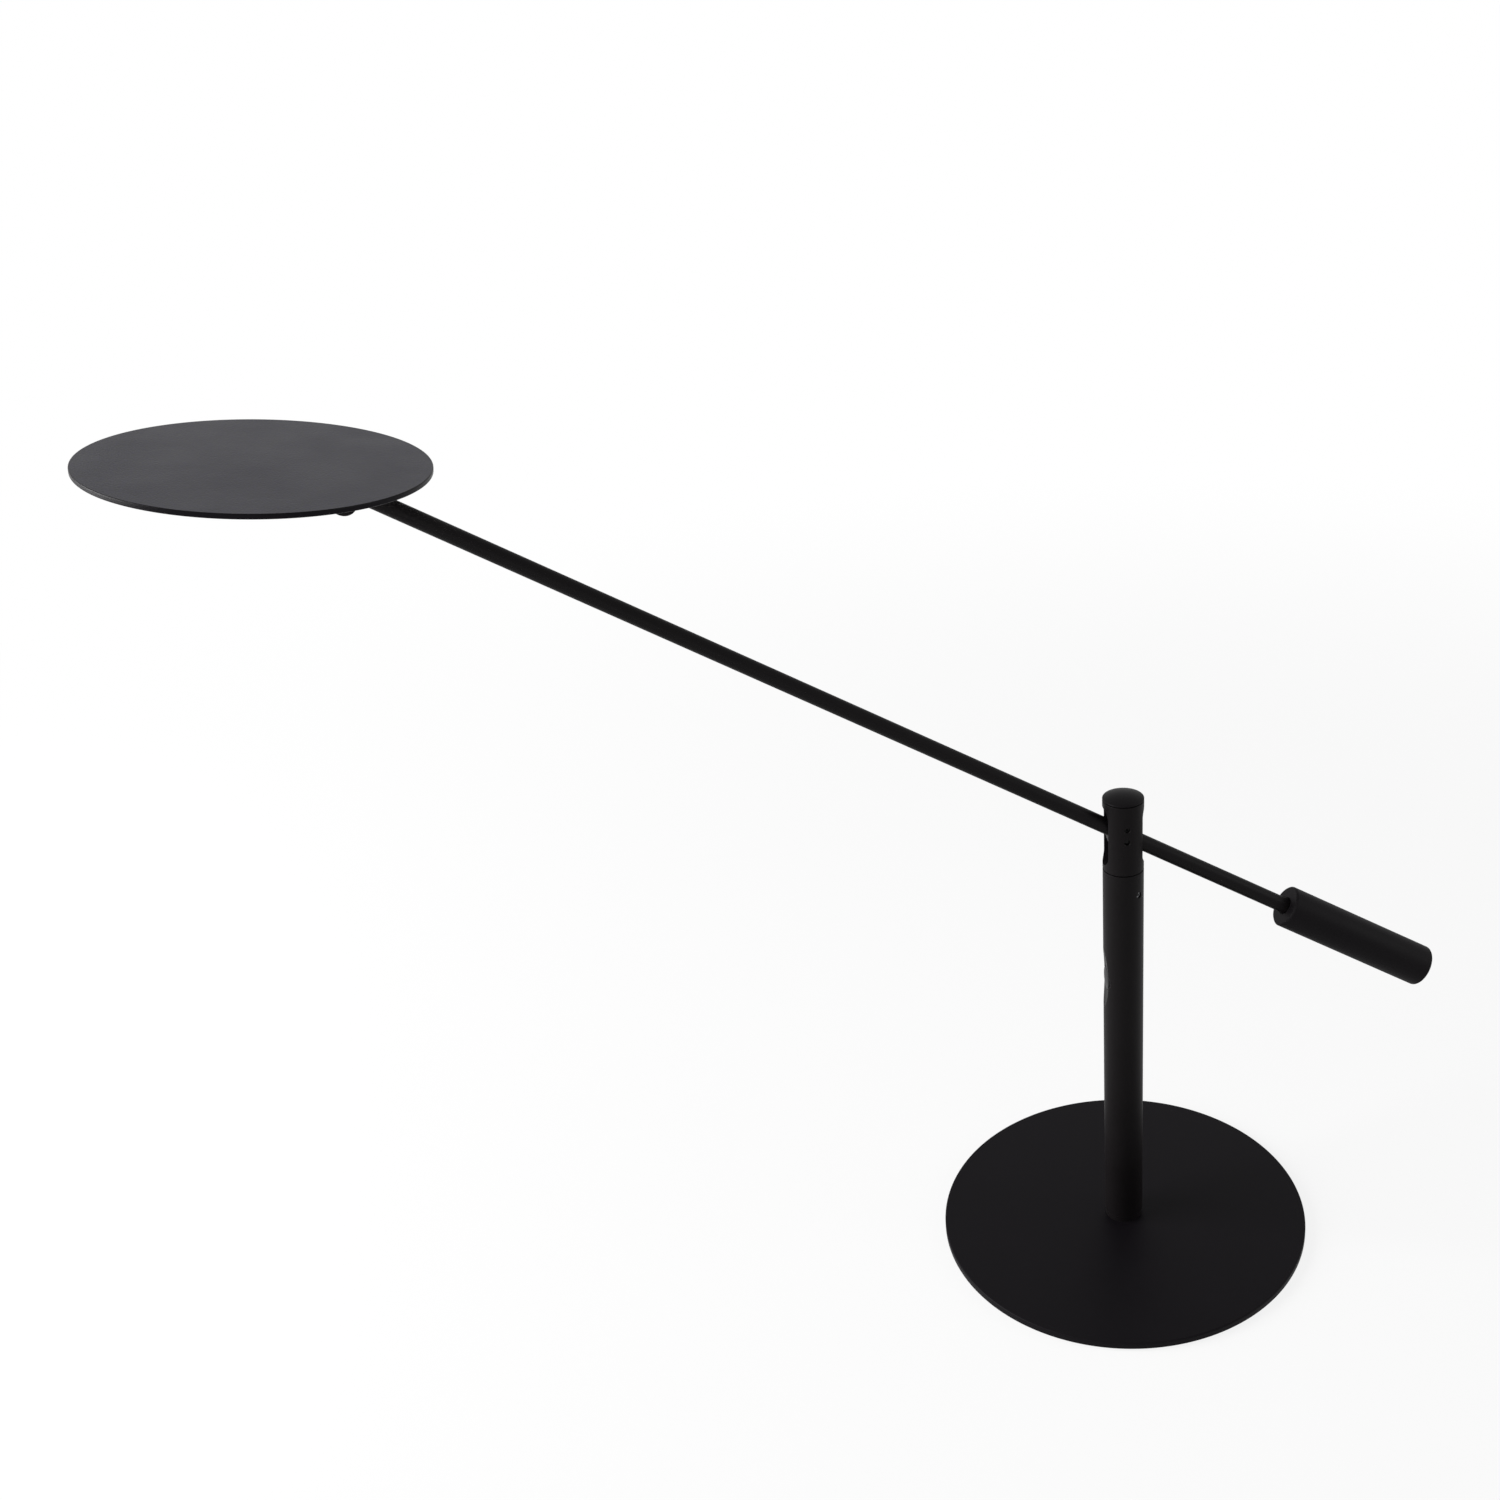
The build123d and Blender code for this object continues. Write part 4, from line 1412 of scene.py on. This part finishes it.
    def slot_tool(self) -> Piece:
        """Makes the round-ended bar that cuts the slot: a rod whose halves are pulled apart.

        Returns:
            The tool.
        """
        reach = self.radius + OVERRUN
        ends = [(-reach, 0, PIVOT_HEIGHT), (reach, 0, PIVOT_HEIGHT)]
        tool = BENCH.peg("slot", *ends, self.slot_width / 2, sides=96)
        pull = (self.slot_height - self.slot_width) / 2 * MM
        bpy.ops.object.mode_set(mode="EDIT")
        for side in (1, -1):
            BENCH.pick("VERT", lambda v: side * (v.co.z - PIVOT_HEIGHT * MM) > MERGE_REACH)
            bpy.ops.transform.translate(value=(0, 0, side * pull))
        bpy.ops.object.mode_set(mode="OBJECT")
        return tool

    def cap(self) -> Piece:
        """Makes the low domed cap on its recessed neck.

        Returns:
            The piece.
        """
        bottom = self.top + self.gap_height
        neck = self.radius - self.gap_depth
        plug = self.seat - FIT_GAP
        return BENCH.turned(
            "domed_cap",
            dome(self.radius, bottom + self.cap_band, self.cap_rise, self.cap_round)
            + [
                Corner(self.radius, bottom, self.cap_lower_round),
                Corner(neck, bottom),
                Corner(neck, self.top),
                Corner(plug, self.top),
                Corner(plug, self.top - self.seat_depth),
                Corner(0.0, self.top - self.seat_depth),
            ],
            steps=160,
        )


@dataclass(frozen=True)
class Arm:
    """The straight arm with its hub, and the eye that carries the light."""

    radius: float = ARM_RADIUS
    wall: float = 1.0
    light_end: float = 384.0  # how far the tube reaches from the pivot towards the light
    weight_end: float = 182.4  # how far it reaches into the counterweight
    hub: float = 8.4
    hub_half: float = 5.1  # half the hub's width
    hub_edge: float = 0.4
    hub_hole: float = 1.31  # radius of the hole that turns on the pin
    hub_reach: float = 12.0  # how far the tools that cut the hub reach
    eye_half: float = 4.6  # half the eye's width
    eye_edge: float = 0.5
    eye_reach: float = 10.0  # how far the tool that cuts the eye's hole reaches
    spigot_length: float = 12.0
    spigot_edge: float = 0.4
    hinge_hole: float = 1.86

    def build(self) -> None:
        """Makes the hub, the tube and the eye."""
        inner = self.radius - self.wall
        tube = BENCH.turned(
            "arm_shell",
            sleeve(inner, self.radius, -self.light_end, self.weight_end, RIM_EDGE),
            where=ARM_FRAME,
            axis=ALONG_X,
        )
        fit(tube, Body.ARM, "arm_black", ARM_COAT, "arm_tube")
        fit(self.hub_disc(), Body.ARM, "knuckle_black", ARM_COAT, "arm_hub")
        mouth, tip = (0, 0, -self.hub + FREE_GAP), (0, 0, -self.radius)
        screw = GrubScrew(SMALL_GRUB).build("hub_grub", mouth, tip, ARM_FRAME)
        fit(screw, Body.ARM, "black_screw", BLACK_STEEL, "hub_screw")
        fit(self.eye_barrel(), Body.ARM, "arm_black", HINGE_COAT, "arm_eye")
        carry_over(LEAD_SLEEVE, "arm_lead")

    def hub_disc(self) -> Piece:
        """Makes the disc on the pivot that grips the tube.

        Returns:
            The piece.
        """
        hub = BENCH.turned(
            "arm_hub_disc",
            sleeve(self.hub_hole, self.hub, -self.hub_half, self.hub_half, self.hub_edge),
            steps=128,
            where=ARM_FRAME,
            axis=ALONG_Y,
        )
        reach = self.hub_reach
        BENCH.bore(hub, (-reach, 0, 0), (reach, 0, 0), self.radius + FIT_GAP, where=ARM_FRAME)
        BENCH.bore(hub, (0, 0, 0), (0, 0, -reach), SMALL_GRUB + FIT_GAP, 48, ARM_FRAME)
        return hub

    def eye_barrel(self) -> Piece:
        """Makes the short barrel at the arm's end, with its neck and its spigot.

        Returns:
            The piece.
        """
        eye = BENCH.turned(
            "arm_eye_barrel",
            sleeve(0.0, EYE_RADIUS, -self.eye_half, self.eye_half, self.eye_edge),
            steps=128,
            where=ARM_FRAME,
            axis=ALONG_Y,
            start=(-EYE_REACH, 0, -EYE_DROP),
        )
        inner = self.radius - self.wall - FIT_GAP
        spigot_end = -self.light_end + self.spigot_length
        neck = BENCH.turned(
            "neck",
            [
                Corner(0.0, -EYE_REACH),
                Corner(self.radius, -EYE_REACH),
                Corner(self.radius, -self.light_end, RIM_EDGE),
                Corner(inner, -self.light_end),
                Corner(inner, spigot_end, self.spigot_edge),
                Corner(0.0, spigot_end),
            ],
            where=ARM_FRAME,
            axis=ALONG_X,
        )
        BENCH.work(eye, neck, Joining.FUSE)
        ends = [(-EYE_REACH, y, -EYE_DROP) for y in (-self.eye_reach, self.eye_reach)]
        BENCH.bore(eye, *ends, self.hinge_hole, where=ARM_FRAME)
        return eye


@dataclass(frozen=True)
class Counterweight:
    """The cylinder on the arm's short end."""

    radius: float = 10.8
    front: float = 98.9  # where its front lies along the arm
    rear: float = 186.8  # where its rear lies along the arm
    rear_wall: float = 2.4
    front_chamfer: float = 0.8
    rear_round: float = 1.0
    mouth_chamfer: float = 0.8  # round the bore for the arm
    screw_at: float = 110.9  # where its screw lies along the arm
    screw_sunk: float = 0.3

    def build(self) -> None:
        """Makes the weight and its screw."""
        mouth = ARM_RADIUS + FIT_GAP
        weight = BENCH.turned(
            "balance_weight",
            [
                Corner(0.0, self.rear - self.rear_wall),
                Corner(mouth, self.rear - self.rear_wall),
                Corner(mouth, self.front + self.mouth_chamfer),
                Corner(mouth + self.mouth_chamfer, self.front),
                Corner(self.radius - self.front_chamfer, self.front, RIM_EDGE),
                Corner(self.radius, self.front + self.front_chamfer, RIM_EDGE),
                Corner(self.radius, self.rear, self.rear_round),
                Corner(0.0, self.rear),
            ],
            steps=160,
            where=ARM_FRAME,
            axis=ALONG_X,
        )
        ends = [(self.screw_at, 0, 0), (self.screw_at, 0, -self.radius - OVERRUN)]
        BENCH.bore(weight, *ends, BIG_GRUB + FIT_GAP, 48, ARM_FRAME)
        fit(weight, Body.ARM, "weight_black", WEIGHT_COAT, "counterweight")
        ends = [(self.screw_at, 0, -self.radius + self.screw_sunk), (self.screw_at, 0, -ARM_RADIUS)]
        screw = GrubScrew(BIG_GRUB).build("weight_grub", *ends, ARM_FRAME)
        fit(screw, Body.ARM, "black_screw", BLACK_STEEL, "weight_screw")


@dataclass(frozen=True)
class Hinge:
    """The two ears under the light, and the screw that clamps them to the arm's eye."""

    inner: float = 5.2  # where an ear starts along the hinge's axis
    outer: float = 14.0  # where it ends
    ear_edge: float = 0.3
    cheek_share: float = 0.99  # rounding of an ear's cheek, as a share of the eye's radius
    foot_half: float = 12.0  # half the length of an ear's foot
    foot_bottom: float = 6.89  # height of the foot's underside above the hinge's axis
    foot_top: float = 8.69  # height of the light's underside
    foot_round: float = 0.5
    foot_fillet: float = 0.6  # rounding between foot and cheek
    screw: float = 1.8
    screw_round: float = 0.2
    head: float = 3.2
    head_round: float = 0.35
    head_lower_round: float = 0.1
    head_height: float = 1.6
    head_proud: float = 0.2  # how far the head stands proud of the ear
    socket_depth: float = 1.0
    nut: float = 3.2  # radius over the nut's corners
    nut_round: float = 0.3
    nut_thickness: float = 2.2
    nut_sunk: float = 0.8
    washer: float = 5.2
    washer_thickness: float = 0.5
    ear_screw: float = 1.0  # radius of the screws that hold the feet
    ear_screw_round: float = 0.2
    ear_head: float = 1.9
    ear_head_round: float = 0.3
    ear_head_lower_round: float = 0.06
    ear_head_height: float = 1.2
    grip: float = 1.4  # how far those screws reach into the light

    def build(self) -> None:
        """Makes the ears and what goes through them."""
        ears = BENCH.gather([self.ear(-1), self.ear(1)])
        fit(ears, Body.LIGHT, "hinge_black", HINGE_COAT, "hinge_ears")
        fit(self.clamp_screw(), Body.LIGHT, "black_screw", BLACK_STEEL, "hinge_screw")
        fit(self.clamp_nut(), Body.LIGHT, "black_screw", BLACK_STEEL, "hinge_nut")
        fit(self.foot_screws(), Body.LIGHT, "black_screw", BLACK_STEEL, "ear_screws")
        outline = sleeve(
            self.screw + FREE_GAP, self.washer, self.inner - self.washer_thickness, self.inner, WASHER_EDGE
        )
        washers = BENCH.pair("eye_washers", outline, steps=80, where=HINGE_FRAME)
        fit(washers, Body.LIGHT, "nylon_black", HOUSING_PLASTIC, "hinge_washers")

    def ear(self, side: int) -> Piece:
        """One ear: a foot with a round-ended cheek under it.

        Args:
            side: -1 for the near one, 1 for the far one.

        Returns:
            The ear.
        """
        left_half = [
            (-self.foot_half, self.foot_top, 0.0),
            (-self.foot_half, self.foot_bottom, self.foot_round),
            (-EYE_RADIUS, self.foot_bottom, self.foot_fillet),
            (-EYE_RADIUS, -EYE_RADIUS, EYE_RADIUS * self.cheek_share),
        ]
        outline = left_half + [(-x, z, rounding) for x, z, rounding in reversed(left_half)]
        start = self.inner if side > 0 else -self.outer
        width = self.outer - self.inner
        ear = BENCH.prism("light_ears", outline, width, self.ear_edge, HINGE_FRAME, start)
        for first, last, radius in self.ear_holes(side):
            BENCH.bore(ear, first, last, radius, where=HINGE_FRAME)
        return ear

    def ear_holes(self, side: int) -> list[tuple[Point, Point, float]]:
        """The holes through one ear.

        Args:
            side: -1 for the near one, 1 for the far one.

        Returns:
            Both ends and the radius of each hole.
        """
        sunk = self.head_height - self.head_proud if side < 0 else self.nut_sunk + self.nut_thickness
        clear = (self.head if side < 0 else self.nut) + FREE_GAP
        past = (0, side * (self.outer + OVERRUN), 0)
        holes = [
            ((0, 0, 0), past, self.screw + FIT_GAP),
            ((0, side * (self.outer - sunk), 0), past, clear),
        ]
        for x, y in EAR_SCREW_PLACES:
            if y * side > 0:
                holes.append(((x, y, 0), (x, y, self.foot_top + OVERRUN), self.ear_screw + FIT_GAP))
        return holes

    def clamp_screw(self) -> Piece:
        """Makes the hinge screw with its low round head.

        Returns:
            The piece.
        """
        end = -self.outer - self.head_proud
        seat = end + self.head_height
        tip = self.outer - self.nut_sunk
        screw = BENCH.turned(
            "hinge_clamp_screw",
            [
                Corner(0.0, end),
                Corner(self.head, end, self.head_round),
                Corner(self.head, seat, self.head_lower_round),
                Corner(self.screw, seat),
                Corner(self.screw, tip, self.screw_round),
                Corner(0.0, tip),
            ],
            steps=80,
            where=HINGE_FRAME,
            axis=ALONG_Y,
        )
        ends = [(0, end - OVERRUN, 0), (0, end + self.socket_depth, 0)]
        BENCH.bore(screw, *ends, self.head * SOCKET_SHARE, HEXAGON, HINGE_FRAME)
        return screw

    def clamp_nut(self) -> Piece:
        """Makes the nut on the hinge screw.

        Returns:
            The piece.
        """
        outer = self.outer - self.nut_sunk
        inner = outer - self.nut_thickness
        nut = BENCH.turned(
            "hinge_clamp_nut",
            sleeve(self.screw + FIT_GAP, self.nut, inner, outer, self.nut_round),
            where=HINGE_FRAME,
            axis=ALONG_Y,
        )
        ends = [(0, inner - OVERRUN, 0), (0, outer + OVERRUN, 0)]
        BENCH.work(nut, BENCH.peg("flats", *ends, self.nut, HEXAGON, HINGE_FRAME), Joining.SHARE)
        return nut

    def foot_screws(self) -> Piece:
        """Makes the four screws that hold the feet to the light.

        Returns:
            The piece.
        """
        seat = self.foot_bottom
        low = seat - self.ear_head_height
        tip = self.foot_top + self.grip
        screws = []
        for x, y in EAR_SCREW_PLACES:
            screw = BENCH.turned(
                "light_foot_screws",
                [
                    Corner(0.0, low),
                    Corner(self.ear_head, low, self.ear_head_round),
                    Corner(self.ear_head, seat, self.ear_head_lower_round),
                    Corner(self.ear_screw, seat),
                    Corner(self.ear_screw, tip, self.ear_screw_round),
                    Corner(0.0, tip),
                ],
                steps=48,
                where=HINGE_FRAME,
                start=(x, y, 0),
            )
            ends = [(x, y, low - OVERRUN), (x, y, low + self.ear_head_height / 2)]
            BENCH.bore(screw, *ends, self.ear_head * SOCKET_SHARE, HEXAGON, HINGE_FRAME)
            screws.append(screw)
        return BENCH.gather(screws)


@dataclass(frozen=True)
class Light:
    """The thin round light: a metal shell over an edge-lit panel and its diffuser."""

    radius: float = 71.3
    height: float = 2.4
    top_thickness: float = 0.7
    rim_wall: float = 1.6
    rim_lap: float = 0.01  # how far the rim laps into the top
    top_round: float = 0.45
    bottom_round: float = 0.6
    inside_round: float = 0.1
    boss: float = 2.6  # radius of the bosses that take the ears' screws
    boss_gap: float = 0.3
    boss_hole: float = 1.05
    boss_hole_depth: float = 1.5
    diffuser: float = 69.5
    diffuser_thickness: float = 0.5

    def build(self) -> None:
        """Makes the shell and the diffuser, and dresses the panel between them."""
        # The shell is made as top and rim so that the rim can take a darker copy of the top's coat, as
        # painted shade.
        fit(self.plate(), Body.LIGHT, "light_grey", LIGHT_COAT, "light_shell")
        fit(self.rim(), Body.LIGHT, "light_grey", RIM_SHADED_COAT, "light_shell")
        fit(self.lens(), Body.LIGHT, "diffuser_white", DIFFUSER_OPAL, "diffuser")
        carry_over(FILM_WHITE, "reflector_film")
        carry_over(GUIDE_CLEAR, "light_guide")
        carry_over(STRIP_WHITE, "led_strip")
        carry_over(LED_YELLOW, "edge_leds")

    def at_bosses(self, piece: Piece, radius: float, low: float, high: float, how: Joining) -> None:
        """Works a rod into a piece at each boss.

        Args:
            piece: The piece.
            radius: The rods' radius.
            low: Their lower end in the light's frame.
            high: Their upper end.
            how: Whether they are cut out or fused.
        """
        for x, y in EAR_SCREW_PLACES:
            ends = [(x + LIGHT_REACH, y, low), (x + LIGHT_REACH, y, high)]
            BENCH.work(piece, BENCH.peg("boss", *ends, radius, 48, LIGHT_FRAME), how)

    def plate(self) -> Piece:
        """Makes the flat top of the shell with its bosses.

        Returns:
            The piece.
        """
        outline = sleeve(0.0, self.radius - self.top_round, 0.0, -self.top_thickness)
        plate = BENCH.turned("light_plate", outline, steps=256, where=LIGHT_FRAME)
        bottom = -self.height
        self.at_bosses(plate, self.boss, bottom, -self.top_thickness / 2, Joining.FUSE)
        self.at_bosses(plate, self.boss_hole, bottom - OVERRUN, bottom + self.boss_hole_depth, Joining.CUT)
        return plate

    def rim(self) -> Piece:
        """Makes the shell's turned-down rim.

        Returns:
            The piece.
        """
        inside = self.radius - self.rim_wall
        joint = self.radius - self.top_round - self.rim_lap
        return BENCH.turned(
            "light_rim",
            [
                Corner(joint, 0.0),
                Corner(self.radius, 0.0, self.top_round),
                Corner(self.radius, -self.height, self.bottom_round),
                Corner(inside, -self.height, self.inside_round),
                Corner(inside, -self.top_thickness),
                Corner(joint, -self.top_thickness),
            ],
            steps=256,
            where=LIGHT_FRAME,
        )

    def lens(self) -> Piece:
        """Makes the opal diffuser.

        Returns:
            The piece.
        """
        top = -self.height + self.diffuser_thickness
        lens = BENCH.turned(
            "opal_lens",
            [
                Corner(0.0, top),
                Corner(self.diffuser, top),
                Corner(self.diffuser, -self.height, RIM_EDGE),
                Corner(0.0, -self.height),
            ],
            steps=192,
            where=LIGHT_FRAME,
        )
        self.at_bosses(lens, self.boss + self.boss_gap, -self.height - OVERRUN, 0.0, Joining.CUT)
        return lens


# ---------------------------------------------------------------- studio


@dataclass(frozen=True)
class Camera:
    """The camera, standing where the photograph was taken from."""

    place: Point = (-147.2845, -727.6312, 648.4268)  # where it stands
    yaw: float = 1.4740916  # the bearing that it looks along, in radians
    pitch: float = 0.4468806  # how far it looks down, in radians
    roll: float = -0.0459320  # how far it is turned about its own axis, in radians
    lens: float = 40.4356  # its focal length in millimetres
    shift: tuple[float, float] = (-0.14410, 0.00033)  # sideways and upwards, in frame widths
    sensor: float = 36.0  # the sensor's width in millimetres
    reach: tuple[float, float] = (0.01, 50.0)  # how near and how far it sees, in metres

    def build(self) -> None:
        """Makes the camera and hands the scene to it."""
        flat = cos(self.pitch)
        ahead = Vector((flat * cos(self.yaw), flat * sin(self.yaw), -sin(self.pitch)))
        level = ahead.cross(Vector(UP)).normalized()
        above = level.cross(ahead)
        right = level * cos(self.roll) + above * sin(self.roll)
        top = above * cos(self.roll) - level * sin(self.roll)
        data = bpy.data.cameras.new("camera")
        data.sensor_width = self.sensor
        data.lens = self.lens
        data.shift_x, data.shift_y = self.shift
        data.clip_start, data.clip_end = self.reach
        camera = bpy.data.objects.new("camera", data)
        bpy.context.scene.collection.objects.link(camera)
        turned = Matrix((right, top, -ahead)).transposed().to_4x4()
        camera.matrix_world = Matrix.Translation(Vector(self.place) * MM) @ turned
        bpy.context.scene.camera = camera


@dataclass(frozen=True)
class SoftBox:
    """A soft square lamp."""

    name: str  # its name
    place: Point  # where it stands
    aim: Point  # the point that it faces
    size: float  # the length of its side
    power: float  # its power in watts

    def build(self) -> None:
        """Makes the lamp."""
        data = bpy.data.lights.new(self.name, "AREA")
        data.shape = "SQUARE"
        data.size = self.size * MM
        data.energy = self.power
        lamp = bpy.data.objects.new(self.name, data)
        bpy.context.scene.collection.objects.link(lamp)
        place = Vector(self.place) * MM
        away = place - Vector(self.aim) * MM
        turn = away.to_track_quat("Z", "Y").to_matrix().to_4x4()
        lamp.matrix_world = Matrix.Translation(place) @ turn


@dataclass(frozen=True)
class Studio:
    """The pale floor, the white surroundings and the lamps."""

    fill: float = 0.22  # the strength of the surroundings' light on the object
    floor_size: float = 12000.0  # the length of the floor's side
    floor_colour: Colour = srgb(236, 236, 236)  # the floor's colour
    floor_glow: float = 0.85  # how much of the floor's white is its own, to the camera
    floor_fade: tuple[float, float] = (450.0, 1500.0)  # where the rest of it turns white as well

    def build(self) -> None:
        """Makes the surroundings, the floor and the lamps."""
        bpy.context.scene.view_settings.view_transform = "Standard"
        self.surroundings()
        self.floor()
        SoftBox("key", (-2000, -50, 900), (-100, 0, 200), size=1400, power=76).build()
        SoftBox("rim", (1700, -500, 700), (0, 0, 200), size=900, power=9).build()
        SoftBox("bounce", (-300, -1900, 80), (0, 0, 260), size=1300, power=5).build()

    @staticmethod
    def seen(net: Network) -> Signal:
        """Tells the rays that show the background.

        Args:
            net: The network that asks.

        Returns:
            1 for rays from the camera and for mirrored or transmitted ones, 0 for others.
        """
        path = net.node("ShaderNodeLightPath")
        camera, glossy, passed = (
            Signal(net, path.outputs[f"Is {kind} Ray"]) for kind in ("Camera", "Glossy", "Transmission")
        )
        return camera.most(glossy).most(passed)

    def surroundings(self) -> None:
        """White surroundings that light the object softly."""
        world = bpy.data.worlds.new("surroundings")
        world.use_nodes = True
        bpy.context.scene.world = world
        net = Network(world.node_tree)
        strength = self.seen(net) * (1.0 - self.fill) + self.fill
        glow = net.node("ShaderNodeBackground", {}, {"Color": WHITE, "Strength": strength})
        net.close(glow.outputs["Background"], "ShaderNodeOutputWorld")

    def floor(self) -> None:
        """A plain pale floor that keeps the object's shadow."""
        BENCH.deselect()
        bpy.ops.mesh.primitive_plane_add(size=self.floor_size * MM)
        floor = bpy.context.object
        floor.name = "floor"
        material = bpy.data.materials.new("floor")
        material.use_nodes = True
        net = Network(material.node_tree)
        matt = net.node("ShaderNodeBsdfDiffuse", {}, {"Color": self.floor_colour})
        glow = net.node("ShaderNodeEmission", {}, {"Color": WHITE, "Strength": 1.0})
        reach = net.node("ShaderNodeVectorMath", {"operation": "LENGTH"}, {0: net.place()})
        near, far = (distance * MM for distance in self.floor_fade)
        fade = Signal(net, reach.outputs["Value"]).ramp(near, far)
        glowing = fade * (1.0 - self.floor_glow) + self.floor_glow
        both = net.node("ShaderNodeMixShader", {}, {0: self.seen(net) * glowing})
        net.tree.links.new(matt.outputs[0], both.inputs[1])
        net.tree.links.new(glow.outputs[0], both.inputs[2])
        net.close(both.outputs[0])
        floor.data.materials.append(material)


def main() -> None:
    """Builds the lamp and the studio round it, and notes their sizes."""
    logging.basicConfig(level=logging.INFO, format="%(name)s: %(message)s")
    surroundings = (Camera(), Studio())
    lamp = (Base(), Stem(), Dimmer(), Knuckle(), Arm(), Counterweight(), Hinge(), Light())
    for assembly in surroundings + lamp:
        assembly.build()
        log.info("%s done", type(assembly).__name__)
    BENCH.deselect()


if __name__ == "__main__":
    main()
